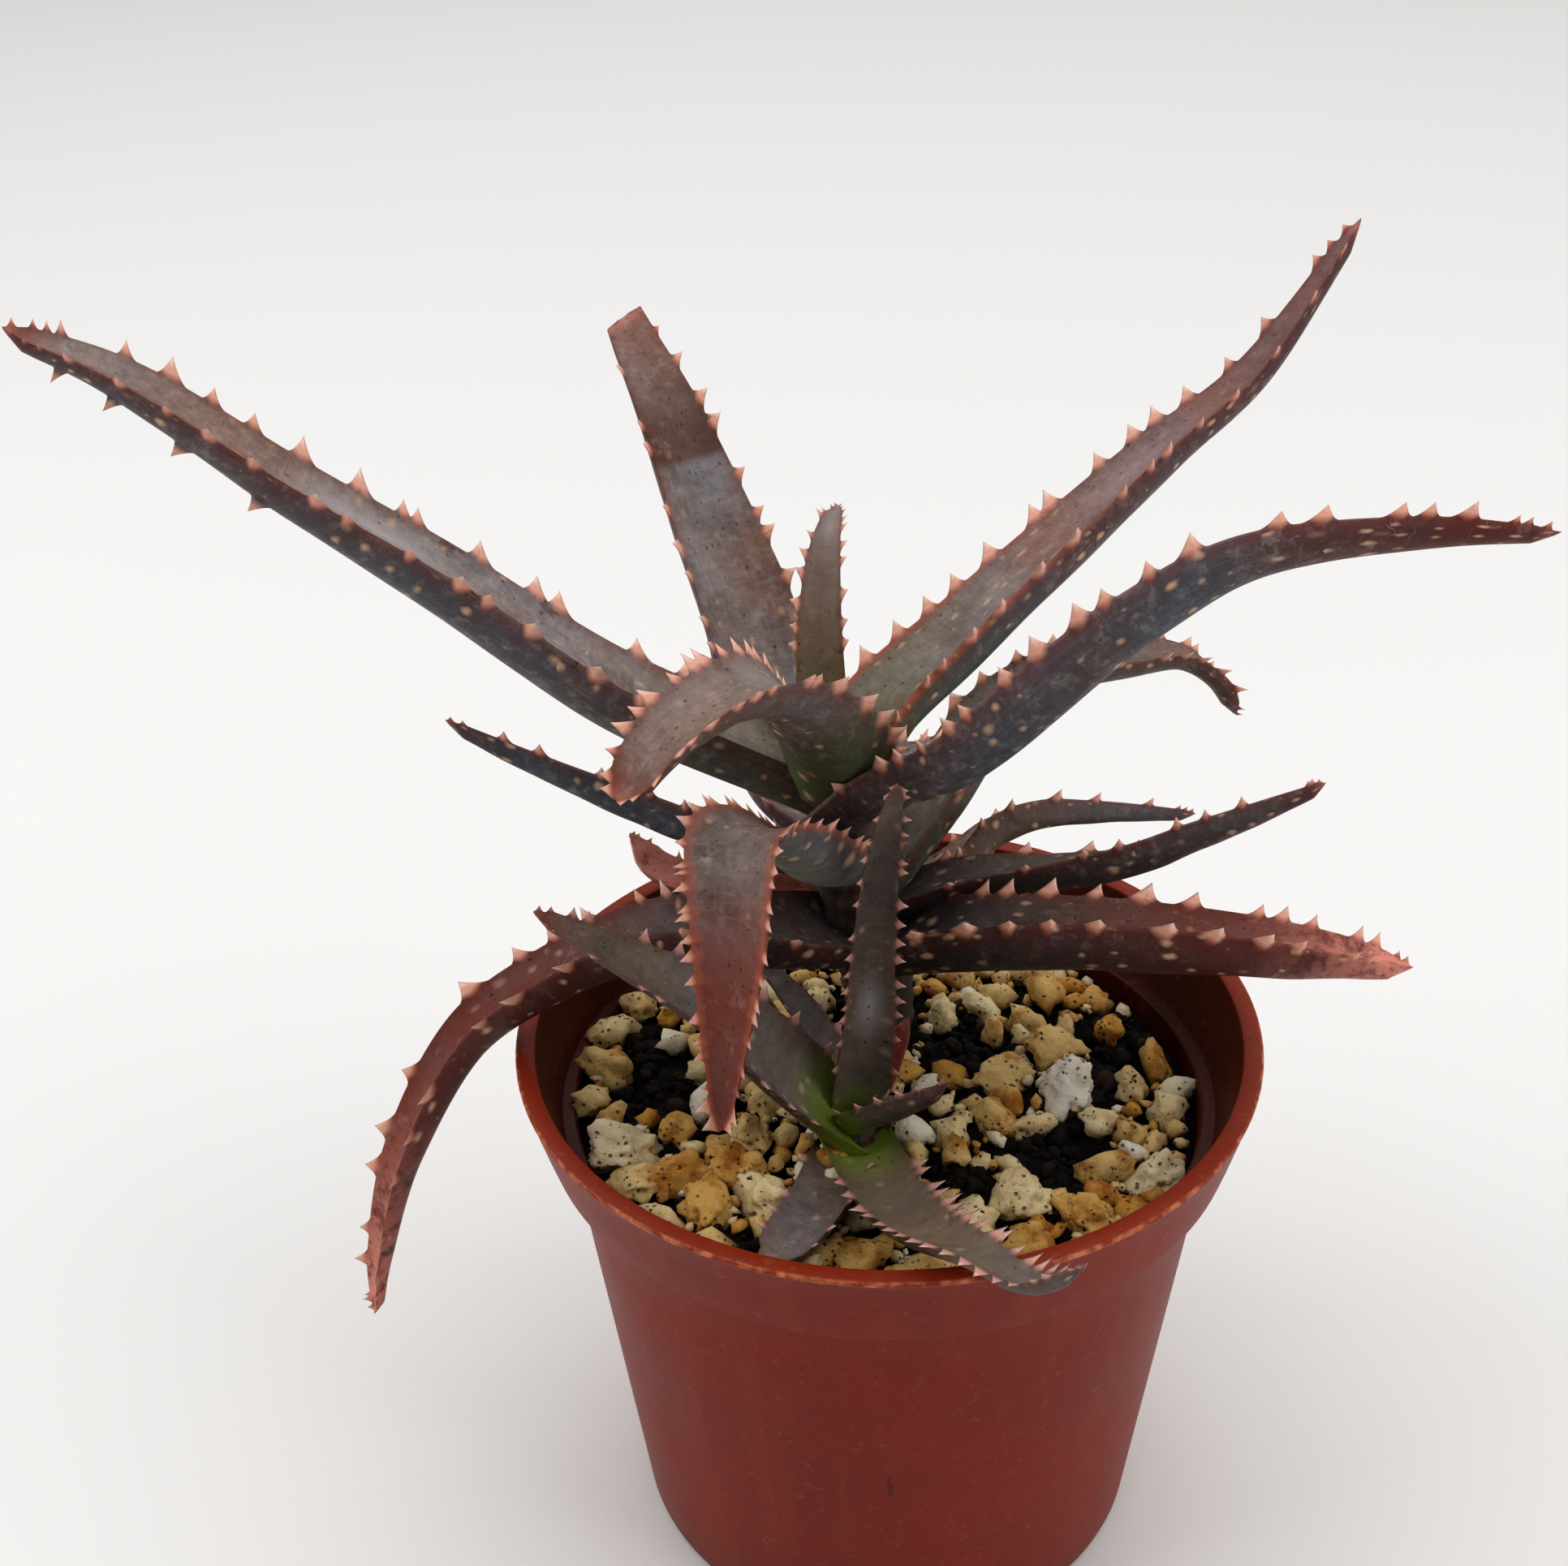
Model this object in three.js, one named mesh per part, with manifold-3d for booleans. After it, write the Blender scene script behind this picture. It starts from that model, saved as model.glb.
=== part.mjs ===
// A potted aloe hybrid: one trunked rosette of toothed leaves with a small offset rosette in front of it,
// growing in potting mix and pumice in a round tapered nursery pot.
// Millimetres, +Z up. The origin is on the ground under the middle of the pot; the front of the plant faces -Y.
import * as THREE from "three";
import { mergeVertices } from "three/addons/utils/BufferGeometryUtils.js";
import Module from "manifold-3d";

const wasm = await Module();
wasm.setup();

// ---- driving dimensions ----
const POT_HEIGHT = 67;
const RIM_RADIUS = 42.5;
const RIM_WALL = 2.2;
const COLLAR_FOOT_Z = 56.8;
const COLLAR_FOOT_RADIUS = 39.9;
const COLLAR_WALL = 1.9;
const BODY_TOP_RADIUS = 37.5;
const BASE_RADIUS = 30.7;
const BODY_WALL = 1.3;
const FLOOR_THICKNESS = 2;
const SHELF_Z = 58.1;
const POT_SEGMENTS = 48;

const DRAIN_HOLES = 6;
const DRAIN_HOLE_RADIUS = 3.2;
const DRAIN_CIRCLE_RADIUS = 20;

const CLEARANCE = 0.35; // between two nodes that touch in the real plant
const MIX_TOP_Z = 56.6;
const MIX_TILT = 0.02; // the mix lies a little higher to the left
const MIX_SEGMENTS = 24;

const RING_LOWER_POINTS = 4; // points on the rounded underside of a leaf section

// The trunk from below the surface of the mix to the middle of the rosette, and its radius at each point.
const TRUNK = {
  spine: [[-1, 15.5, 44], [-1, 13.5, 60], [-2.5, 9.5, 75], [-4.5, 7, 88], [-6.5, 6, 99]],
  radius: [3.6, 4.2, 4.6, 4.2, 2.4],
};
const OFFSET_TRUNK = {
  spine: [[-3.5, -6, 46], [-3.5, -8, 53], [-3.5, -9.5, 60]],
  radius: [2.4, 3, 2.4],
};

// Leaves. spine: points along the middle of the channel, base first. width: across the two margins at those
// points. thick: channel to keel. channel: how far the margins stand above the channel. roll: degrees that the
// upper face turns towards its side vector, which is level and to the right of the leaf's heading.
// teeth: how many on each margin. tooth: their height.
const LEAVES = {
  leaf_heart: {
    spine: [[-6.6, 6.2, 99.4], [-7.1, 7.6, 106], [-7.3, 10, 112.5], [-7, 13.5, 118], [-6.4, 17, 121], [-5.5, 21, 122]],
    width: [5.4, 5.4, 4.8, 3.8, 2.6, 1.2], thick: [2.4, 2.4, 2.2, 1.8, 1.3, 0.8], channel: [1.2, 1.2, 1, 0.8, 0.5, 0.2],
    roll: [0, 0, 0, 0, 0, 0], teeth: 6, tooth: 1, teethFrom: 0.3,
  },
  leaf_front_arching: {
    spine: [[-5.5, 1, 99], [-6.5, -5, 109], [-10.5, -12, 117], [-15.5, -18, 119], [-21, -23, 117], [-25.5, -26, 112]],
    width: [12, 13, 10.4, 8, 6.6, 4.4], thick: [4.4, 4.8, 3.8, 2.8, 2.2, 1.4], channel: [2.4, 2, 1.6, 1.2, 0.8, 0.3],
    roll: [0, 0, 0, 0, 0, 0], teeth: 9, tooth: 1.7,
  },
  leaf_upper_left: {
    spine: [[-7, 5, 96.5], [-27.5, 0, 110.5], [-43.5, -3, 124.5], [-57, -6, 135.5], [-71, -8, 147], [-81.5, -10, 153]],
    width: [11.5, 10.8, 9.2, 7.2, 5.2, 2], thick: [4.4, 5, 4.4, 3.4, 2.4, 1.2], channel: [2.2, 1.6, 1.2, 1, 0.6, 0.2],
    roll: [0, 0, -6, -18, -24, -24], teeth: 14, tooth: 1.8,
  },
  leaf_upper_right: {
    spine: [[-5, 7, 96], [-0.5, 12, 102], [9, 18, 109], [20, 25, 117], [30.5, 32, 124], [41.7, 38, 131.7], [53.3, 45, 146.6]],
    width: [11, 11, 10.4, 9.6, 7.8, 5.2, 1.5], thick: [4.2, 4.2, 4, 3.6, 3, 2.2, 1.2], channel: [2, 1.8, 1.6, 1.2, 1, 0.6, 0.2],
    roll: [0, -6, -12, -14, -14, -12, -10], teeth: 14, tooth: 1.7,
  },
  leaf_back: {
    spine: [[-4, 10, 86], [-11, 18, 88], [-14, 25, 93], [-16.5, 32, 102], [-21.4, 39, 112.5], [-27, 47, 124], [-32.8, 57, 132]],
    width: [10, 11.5, 12, 12, 10.6, 8, 5.4], thick: [3.8, 3.8, 3.8, 3.4, 3, 2.4, 1.4], channel: [2, 2, 1.8, 1.4, 1.2, 0.8, 0.3],
    roll: [0, 0, 0, 0, 0, 0, 0], teeth: 13, tooth: 1.7,
  },
  leaf_right_arching: {
    spine: [[-6, 4, 94], [-0.5, -4, 102], [7, -8, 107.5], [14.5, -12, 116.5], [23.5, -14, 125.6], [34, -14, 131.9], [49.5, -12, 133.2], [63, -10, 132]],
    width: [10.5, 10, 9.6, 9, 7.6, 6, 4.4, 1.6], thick: [4, 4, 3.8, 3.6, 3, 2.4, 1.8, 1], channel: [2, 1.6, 1.4, 1.2, 1, 0.7, 0.4, 0.1],
    roll: [0, -14, -24, -32, -40, -46, -46, -46], teeth: 14, tooth: 1.6,
  },
  leaf_left_thin: {
    spine: [[-4, 9, 83], [-12.5, 8, 86], [-21.5, 9, 88.6], [-30, 10, 91.5], [-40, 10, 96.2], [-49.5, 10, 101]],
    width: [7, 6.4, 5.6, 4.6, 3.2, 1.4], thick: [2.8, 3.2, 3.1, 2.6, 1.9, 1], channel: [1, 0.8, 0.6, 0.5, 0.3, 0.1],
    roll: [0, 20, 36, 42, 42, 42], teeth: 8, tooth: 1.1,
  },
  leaf_front_hanging: {
    spine: [[-3, 7, 86], [-7, -6, 93.5], [-11, -14, 101.5], [-14.5, -20, 105], [-15, -25, 103], [-15.2, -27, 96], [-16, -27.5, 85], [-17, -27, 73]],
    width: [10.5, 10.5, 10, 9.6, 9, 8, 5.4, 1.2], thick: [3.4, 3.2, 2.8, 2.4, 2.2, 2.2, 1.8, 1], channel: [2, 1.8, 1.4, 1, 0.8, 0.8, 0.6, 0.1],
    roll: [0, 0, 0, 0, 0, 0, 0, 0], teeth: 12, tooth: 1.3,
  },
  leaf_behind_right: {
    spine: [[-2.5, 10, 79], [5.5, 14, 89], [11.5, 19, 96.4], [19.5, 23, 100.4], [28, 26, 100.7], [34.5, 28, 100.2], [39.5, 29, 96.3], [42, 30, 90.8]],
    width: [9, 9, 8.6, 7.4, 5.4, 4.8, 4.2, 2.2], thick: [3.4, 3.4, 3.2, 2.8, 2.4, 2, 1.6, 1], channel: [1.6, 1.4, 1.2, 1, 0.7, 0.5, 0.4, 0.1],
    roll: [0, 0, 0, 0, 0, 0, 0, 0], teeth: 11, tooth: 1.5,
  },
  leaf_lower_left: {
    spine: [[-3, 8, 74], [-12, 0, 79.5], [-20, -3, 82], [-27.5, -4, 81.5], [-36.5, -4, 77], [-48.4, -4, 67.2], [-57.6, -4, 50], [-62.4, -4, 33.5], [-63.5, -5, 25]],
    width: [10, 9.8, 9, 8, 7, 6, 5, 3.4, 1.6], thick: [4, 4.2, 4.2, 4, 3.6, 3.2, 2.8, 2, 1], channel: [2, 2, 2, 1.9, 1.7, 1.5, 1.1, 0.6, 0.1],
    roll: [0, 0, 4, 6, 4, -6, -18, -22, -22], teeth: 14, tooth: 1.7,
  },
  leaf_lower_right: {
    spine: [[-2.5, 8.5, 72.5], [7.5, -1, 80.5], [21, -5, 83.5], [36, -7, 83.5], [47.5, -8, 82.5], [56.2, -8, 80.8]],
    width: [10, 9.8, 8.8, 7.6, 5.8, 2.2], thick: [4.4, 4.8, 4.6, 4, 2.8, 1.4], channel: [2, 2, 2.1, 1.9, 1.3, 0.2],
    roll: [0, -8, -12, -13, -12, -8], teeth: 11, tooth: 1.7,
  },
  leaf_right_thin: {
    spine: [[-2, 9, 77.5], [9, 7.8, 82.1], [19, 6.5, 84.4], [27.5, 5, 87.2], [34, 4, 90.6], [40.5, 3, 94.2], [47, 2, 97.8]],
    width: [7, 6.4, 5.6, 4.8, 4, 2.8, 1.2], thick: [2.6, 3.2, 3.1, 2.8, 2.3, 1.8, 0.9], channel: [1, 0.8, 0.7, 0.6, 0.5, 0.3, 0.1],
    roll: [0, -4, -20, -36, -42, -42, -42], teeth: 8, tooth: 1.2,
  },
  leaf_right_low: {
    spine: [[-2, 11, 74], [7, 16, 78.5], [12, 19, 82], [17.5, 21, 83.1], [24, 23, 82.2], [31, 25, 80.6], [37.5, 26, 79.4]],
    width: [6.4, 5.8, 5, 4.2, 3.2, 2.4, 1.2], thick: [2.4, 3.1, 3, 2.7, 2.2, 1.5, 0.9], channel: [1, 0.8, 0.7, 0.5, 0.3, 0.2, 0.1],
    roll: [0, -20, -36, -42, -42, -42, -42], teeth: 7, tooth: 1.1,
  },
  leaf_dry: {
    spine: [[-2, 14, 71], [-12, 19, 71], [-22.5, 24, 69.5], [-29, 27, 70.4], [-32.4, 29, 74.4]],
    width: [5, 5, 4.6, 4, 3], thick: [1.1, 1.1, 1, 1, 0.9], channel: [1.8, 1.8, 1.6, 1.4, 1],
    roll: [-20, -20, -20, -20, -20], teeth: 4, tooth: 0.8,
  },
  offset_leaf_young: {
    spine: [[-4, -9.5, 60], [-1.5, -13.5, 64.5], [2.5, -17, 69], [6.5, -20, 74]],
    width: [5, 4.6, 3.8, 1.6], thick: [1.6, 1.6, 1.4, 0.9], channel: [1.4, 1.2, 0.9, 0.2],
    roll: [-10, -10, -10, -10], teeth: 5, tooth: 1,
  },
  offset_leaf_tall: {
    spine: [[-3.5, -7.5, 58.5], [-2, -10, 74.5], [-1.5, -12, 85.5], [-0.5, -14, 98], [1, -15, 107.5]],
    width: [7, 5.6, 4.6, 3.4, 1.4], thick: [2, 1.9, 1.8, 1.5, 0.9], channel: [1.2, 0.8, 0.6, 0.4, 0.1],
    roll: [0, 0, 0, 0, 0], side: [1, 0.15, 0], teeth: 9, tooth: 1.1,
  },
  offset_leaf_left: {
    spine: [[-4, -9, 58.5], [-11, -12, 69.5], [-19, -15, 80.5], [-27, -17, 87.5], [-36, -18, 94]],
    width: [9, 9, 6.8, 4.4, 1.4], thick: [2.4, 2.4, 2.1, 1.7, 0.9], channel: [1.8, 1.4, 1, 0.6, 0.1],
    roll: [-10, -34, -36, -34, -30], teeth: 9, tooth: 1.3,
  },
  offset_leaf_right: {
    spine: [[-3.5, -10, 57.5], [0.5, -24, 61.4], [4, -34, 66.2], [8.5, -41.5, 70.4], [13.5, -47, 71.8], [18.5, -49, 75.8]],
    width: [8, 8, 7.4, 6, 4.4, 1.4], thick: [2.4, 2.2, 1.8, 1.6, 1.4, 0.9], channel: [1.6, 1.4, 1.2, 0.9, 0.6, 0.1],
    roll: [0, 0, 0, 0, 0, 0], teeth: 10, tooth: 1.5,
  },
  offset_leaf_short: {
    spine: [[-4.5, -10, 56.5], [-7, -22, 59.6], [-10, -30, 61], [-12.5, -35, 61.6]],
    width: [7, 6.6, 6, 3.4], thick: [2.2, 2, 1.8, 1.2], channel: [1.2, 1, 0.8, 0.3],
    roll: [0, 0, 0, 0], teeth: 5, tooth: 1.1,
  },
  offset_leaf_back: {
    spine: [[-4, -6, 58.5], [-8, 1, 64.5], [-11.5, 5, 67.5], [-15, 8.5, 69.5]],
    width: [4.4, 4, 3, 1.4], thick: [1.6, 1.5, 1.3, 0.9], channel: [0.8, 0.6, 0.4, 0.1],
    roll: [0, 0, 0, 0], teeth: 4, tooth: 0.9,
  },
  dry_scale: {
    spine: [[-2.5, -6.5, 58], [-0.5, -3.5, 61.5], [1, -1.5, 64.5], [2.6, 0.5, 67.5]],
    width: [3.4, 3.4, 2.8, 1.2], thick: [1, 1, 1, 0.8], channel: [0.8, 0.8, 0.5, 0.1],
    roll: [0, 0, 0, 0], side: [1, -0.4, 0], teeth: 0, tooth: 0,
  },
};

// Pumice: the lumps that show most, as [x, y, radius, height above the mix of their middle].
const PUMICE = [
  [21.1, 0.2, 3.9, 1.4], [21.7, -21.9, 3.1, 1.2], [-29.3, -12.2, 3.6, 1.3], [-27.2, -17.3, 3, 1],
  [-22.8, -15.6, 3.1, 1.2], [-16.6, -15, 3.1, 1.2], [-15.4, -8.6, 3.2, 1.2], [-13, -20.2, 3.2, 1.2],
  [-19.3, -21.8, 3, 1], [-33, 9.6, 2.8, 1.5], [-33.6, 2.6, 2.8, 1.8], [-30.8, 14.8, 2.4, 1],
  [-34.4, -4.4, 2.2, 2.2], [11.9, 15.4, 2.4, 0.9], [20.4, 8.6, 3.5, 1.4], [7, 14.6, 2.4, 0.9],
  [16.6, 14, 2.4, 0.9], [14, 3, 3.1, 1.1], [11.9, -5, 2.6, 1], [7.2, -7.6, 2.4, 0.9], [13.6, -17.6, 2.8, 1],
  [9.2, -21.4, 2.8, 1], [32, 6, 2.2, 0.9], [28.6, 2, 2.4, 0.9], [32.4, -2.6, 2.4, 0.9], [27.6, -7.6, 2.2, 0.9],
  [30.2, -14.4, 2.9, 1], [24.8, -12.8, 2.5, 0.9], [-2.7, -28.4, 2.5, 0.9], [27, 12, 2.3, 0.9],
  [26.8, -20, 2.5, 0.9], [14.4, -26.2, 2.6, 1], [-24, -8.8, 2.6, 1], [-14.3, -2.6, 2.7, 1],
  [-21.5, 2.5, 2, 0.7], [7.5, 3.5, 2, 0.8], [17, -5.4, 2.2, 0.8], [24.6, -5.2, 2.1, 0.8], [4.4, -30, 2.2, 0.8],
  [-8.6, -31.5, 2.2, 0.8], [-24.5, -23.5, 2.4, 0.9], [19.5, -27.5, 2.2, 0.8], [-26, 13, 2, 0.7],
  [-21, 14, 2.4, 0.8], [-14, 6, 1.9, 0.7], [-20, 22, 2.6, 0.8], [-6, 27, 2.6, 0.8], [6, 28, 2.4, 0.8],
  [18, 24, 2.6, 0.8], [-12, 15, 2.2, 0.8], [26, 19, 2.2, 0.8],
];
const PUMICE_SCATTER = 24;
const PUMICE_SEED = 417;

// ---- helpers ----
function solidOf(geometry, tolerance = 1e-4) {
  const bare = new THREE.BufferGeometry().setAttribute("position", geometry.getAttribute("position"));
  if (geometry.index) bare.setIndex(geometry.index);
  const merged = mergeVertices(bare, tolerance);
  const index = merged.index.array;
  const kept = [];
  for (let i = 0; i < index.length; i += 3) {
    const [a, b, c] = [index[i], index[i + 1], index[i + 2]];
    if (a !== b && b !== c && a !== c) kept.push(a, b, c);
  }
  return new wasm.Manifold(
    new wasm.Mesh({
      numProp: 3,
      vertProperties: new Float32Array(merged.attributes.position.array),
      triVerts: new Uint32Array(kept),
    }),
  );
}

function solidFromLists(points, triangles) {
  return new wasm.Manifold(
    new wasm.Mesh({
      numProp: 3,
      vertProperties: new Float32Array(points.flatMap((p) => [p.x, p.y, p.z])),
      triVerts: new Uint32Array(triangles.flat()),
    }),
  );
}

function geometryOf(solid) {
  const mesh = solid.getMesh();
  const geometry = new THREE.BufferGeometry();
  geometry.setAttribute("position", new THREE.BufferAttribute(new Float32Array(mesh.vertProperties), 3));
  geometry.setIndex(new THREE.BufferAttribute(new Uint32Array(mesh.triVerts), 1));
  geometry.computeVertexNormals();
  return geometry;
}

function largestBody(solid) {
  return solid.decompose().reduce((best, body) => (body.volume() > best.volume() ? body : best));
}

// The largest body of a cut solid, with vertices closer than a thousandth of a millimetre made one.
function tidied(solid) {
  return largestBody(solidOf(geometryOf(largestBody(solid)), 1e-3));
}

function boxesMeet(a, b) {
  const p = a.boundingBox();
  const q = b.boundingBox();
  return [0, 1, 2].every((k) => p.min[k] < q.max[k] && q.min[k] < p.max[k]);
}

function valueAt(list, u) {
  const place = Math.min(u * (list.length - 1), list.length - 1.000001);
  const i = Math.floor(place);
  return THREE.MathUtils.lerp(list[i], list[i + 1], place - i);
}

function numberStream(seed) {
  let state = seed;
  return () => (state = (state * 16807) % 2147483647) / 2147483647;
}

function vector(p) {
  return new THREE.Vector3(...p);
}

// ---- leaves ----
// Position, heading, side and upper-face directions at the fraction u of a leaf.
function leafFrame(leaf, curve, u) {
  const at = curve.getPoint(u);
  const along = curve.getTangent(u);
  const heading = vector(leaf.spine.at(-1)).sub(vector(leaf.spine[0])).setZ(0).normalize();
  const level = leaf.side ? vector(leaf.side) : heading.cross(new THREE.Vector3(0, 0, 1));
  const side = level.addScaledVector(along, -level.dot(along)).normalize();
  const up = new THREE.Vector3().crossVectors(side, along);
  const roll = THREE.MathUtils.degToRad(valueAt(leaf.roll, u));
  const turnedUp = up.clone().multiplyScalar(Math.cos(roll)).addScaledVector(side, Math.sin(roll));
  const turnedSide = side.clone().multiplyScalar(Math.cos(roll)).addScaledVector(up, -Math.sin(roll));
  return { at, along, side: turnedSide, up: turnedUp };
}

// The lines that run along a leaf: two margins, three across the upper face and the rest round the underside.
// Each is a list of { u, p }, and the margins also hold the three corners of every tooth.
function leafLines(leaf, curve, grow) {
  const length = curve.getLength();
  const stations = leaf.stations ?? Math.round(5 + length / 10);
  const point = (u, across, height, out = 0, ahead = 0, hand = 0) => {
    const frame = leafFrame(leaf, curve, u);
    return frame.at.clone()
      .addScaledVector(frame.side, across + hand * out * 0.88)
      .addScaledVector(frame.up, height + out * 0.47)
      .addScaledVector(frame.along, ahead);
  };
  const section = (u) => ({
    half: valueAt(leaf.width, u) / 2 + grow,
    rise: valueAt(leaf.channel, u) + grow / 2,
    depth: valueAt(leaf.thick, u) + grow,
  });
  const lines = [];
  for (const s of [-1, -0.5, 0, 0.5, 1]) {
    const line = [];
    for (let i = 0; i < stations; i++) {
      const u = i / (stations - 1);
      const { half, rise } = section(u);
      const height = Math.abs(s) === 1 ? rise : s * s * rise + grow;
      line.push({ u, p: point(u, s * half, height) });
    }
    if (Math.abs(s) === 1) line.push(...toothCorners(leaf, length, s, grow, section, point));
    lines.push(line.sort((a, b) => a.u - b.u));
  }
  for (let k = 1; k <= RING_LOWER_POINTS; k++) {
    const angle = (Math.PI * k) / (RING_LOWER_POINTS + 1);
    const line = [];
    for (let i = 0; i < stations; i++) {
      const u = i / (stations - 1);
      const { half, rise, depth } = section(u);
      line.push({ u, p: point(u, half * Math.cos(angle), rise - (rise + depth) * Math.sin(angle) ** 0.8) });
    }
    lines.push(line);
  }
  return lines;
}

function toothCorners(leaf, length, hand, grow, section, point) {
  const corners = [];
  const from = leaf.teethFrom ?? 0.14;
  for (let i = 0; i < leaf.teeth; i++) {
    const u = from + ((0.97 - from) * (i + (hand > 0 ? 0.55 : 0.25))) / leaf.teeth;
    const height = leaf.tooth * (0.8 + 0.3 * Math.sin(Math.PI * u) + 0.1 * Math.sin(7.3 * i + hand)) * (u > 0.9 ? 0.75 : 1);
    const root = (0.85 * height + grow) / length;
    for (const [shift, out] of [[-root, 0], [0, height + 1.5 * grow], [root, 0]]) {
      const place = u + shift;
      const { half, rise } = section(place);
      corners.push({ u: place + (out ? 0.2 * root : 0), p: point(place, hand * half, rise, out, out * 0.3, hand) });
    }
  }
  return corners;
}

function leafSolid(leaf, grow) {
  const curve = new THREE.CatmullRomCurve3(leaf.spine.map(vector), false, "catmullrom", 0.5);
  const lines = leafLines(leaf, curve, grow);
  const points = [];
  const numbered = lines.map((line) => line.map(({ u, p }) => ({ u, n: points.push(p) - 1 })));
  const triangles = [];
  numbered.forEach((left, k) => {
    const right = numbered[(k + 1) % numbered.length];
    let i = 0;
    let j = 0;
    while (i < left.length - 1 || j < right.length - 1) {
      const nextLeft = i < left.length - 1 ? left[i + 1].u : Infinity;
      const nextRight = j < right.length - 1 ? right[j + 1].u : Infinity;
      if (nextLeft <= nextRight) {
        triangles.push([left[i].n, right[j].n, left[i + 1].n]);
        i += 1;
      } else {
        triangles.push([left[i].n, right[j].n, right[j + 1].n]);
        j += 1;
      }
    }
  });
  const first = leafFrame(leaf, curve, 0);
  const last = leafFrame(leaf, curve, 1);
  const middle = (valueAt(leaf.channel, 0) - valueAt(leaf.thick, 0)) / 2;
  const start = points.push(first.at.clone().addScaledVector(first.up, middle).addScaledVector(first.along, -grow)) - 1;
  const end = points.push(last.at.clone().addScaledVector(last.along, 0.5 * valueAt(leaf.width, 1) + grow)) - 1;
  numbered.forEach((line, k) => {
    const next = numbered[(k + 1) % numbered.length];
    triangles.push([start, next[0].n, line[0].n], [end, line.at(-1).n, next.at(-1).n]);
  });
  const solid = solidFromLists(points, triangles);
  return solid.volume() > 0 ? solid : solidFromLists(points, triangles.map(([a, b, c]) => [a, c, b]));
}

// ---- trunks ----
function trunkSolid(trunk, grow) {
  const curve = new THREE.CatmullRomCurve3(trunk.spine.map(vector), false, "catmullrom", 0.5);
  const points = [];
  const triangles = [];
  const stations = 9;
  const sides = 10;
  for (let i = 0; i < stations; i++) {
    const u = i / (stations - 1);
    const at = curve.getPoint(u);
    const along = curve.getTangent(u);
    const side = new THREE.Vector3(1, 0, 0).addScaledVector(along, -along.x).normalize();
    const other = new THREE.Vector3().crossVectors(along, side);
    for (let k = 0; k < sides; k++) {
      const angle = (2 * Math.PI * k) / sides;
      const radius = valueAt(trunk.radius, u) * (1 + 0.05 * Math.sin(3 * angle + 5 * u)) + grow;
      points.push(at.clone().addScaledVector(side, radius * Math.cos(angle)).addScaledVector(other, radius * Math.sin(angle)));
    }
  }
  for (let i = 0; i < stations - 1; i++) {
    for (let k = 0; k < sides; k++) {
      const a = i * sides + k;
      const b = i * sides + ((k + 1) % sides);
      triangles.push([a, b, b + sides], [a, b + sides, a + sides]);
    }
  }
  const start = points.push(curve.getPoint(0).addScaledVector(curve.getTangent(0), -grow)) - 1;
  const end = points.push(curve.getPoint(1).addScaledVector(curve.getTangent(1), 0.6 + grow)) - 1;
  for (let k = 0; k < sides; k++) {
    const next = (k + 1) % sides;
    const top = (stations - 1) * sides;
    triangles.push([start, next, k], [end, top + k, top + next]);
  }
  return solidFromLists(points, triangles);
}

// ---- pot ----
function latheSolid(profile, segments) {
  const geometry = new THREE.LatheGeometry(profile.map(([r, z]) => new THREE.Vector2(r, z)), segments);
  geometry.rotateX(Math.PI / 2);
  return geometry;
}

function potSolid() {
  const innerTop = BODY_TOP_RADIUS - BODY_WALL;
  const innerBase = BASE_RADIUS - BODY_WALL;
  const collarInner = COLLAR_FOOT_RADIUS - COLLAR_WALL;
  const profile = [
    [0, 0], [BASE_RADIUS - 0.9, 0], [BASE_RADIUS, 1], [BODY_TOP_RADIUS, COLLAR_FOOT_Z],
    [COLLAR_FOOT_RADIUS - 0.3, COLLAR_FOOT_Z], [COLLAR_FOOT_RADIUS, COLLAR_FOOT_Z + 0.4],
    [RIM_RADIUS, POT_HEIGHT - 0.5], [RIM_RADIUS - 0.4, POT_HEIGHT],
    [RIM_RADIUS - RIM_WALL, POT_HEIGHT], [RIM_RADIUS - RIM_WALL - 0.2, POT_HEIGHT - 0.4],
    [collarInner, SHELF_Z + 0.2], [collarInner - 0.2, SHELF_Z], [innerTop, SHELF_Z],
    [innerBase, FLOOR_THICKNESS + 0.8], [innerBase - 0.8, FLOOR_THICKNESS], [0, FLOOR_THICKNESS],
  ];
  let solid = solidOf(latheSolid(profile, POT_SEGMENTS));
  if (solid.volume() < 0) solid = solidOf(latheSolid(profile.slice().reverse(), POT_SEGMENTS));
  for (let i = 0; i < DRAIN_HOLES; i++) {
    const angle = (2 * Math.PI * (i + 0.5)) / DRAIN_HOLES;
    const drill = new THREE.CylinderGeometry(DRAIN_HOLE_RADIUS, DRAIN_HOLE_RADIUS, 3 * FLOOR_THICKNESS, 12);
    drill.rotateX(Math.PI / 2);
    drill.translate(DRAIN_CIRCLE_RADIUS * Math.cos(angle), DRAIN_CIRCLE_RADIUS * Math.sin(angle), FLOOR_THICKNESS / 2);
    solid = solid.subtract(solidOf(drill));
  }
  return solid;
}

// ---- potting mix ----
function mixHeight(x, y) {
  return 0.5 * Math.sin(0.33 * x + 1.1) * Math.cos(0.29 * y) + 0.35 * Math.sin(0.61 * y + 0.47 * x) - MIX_TILT * x;
}

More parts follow.
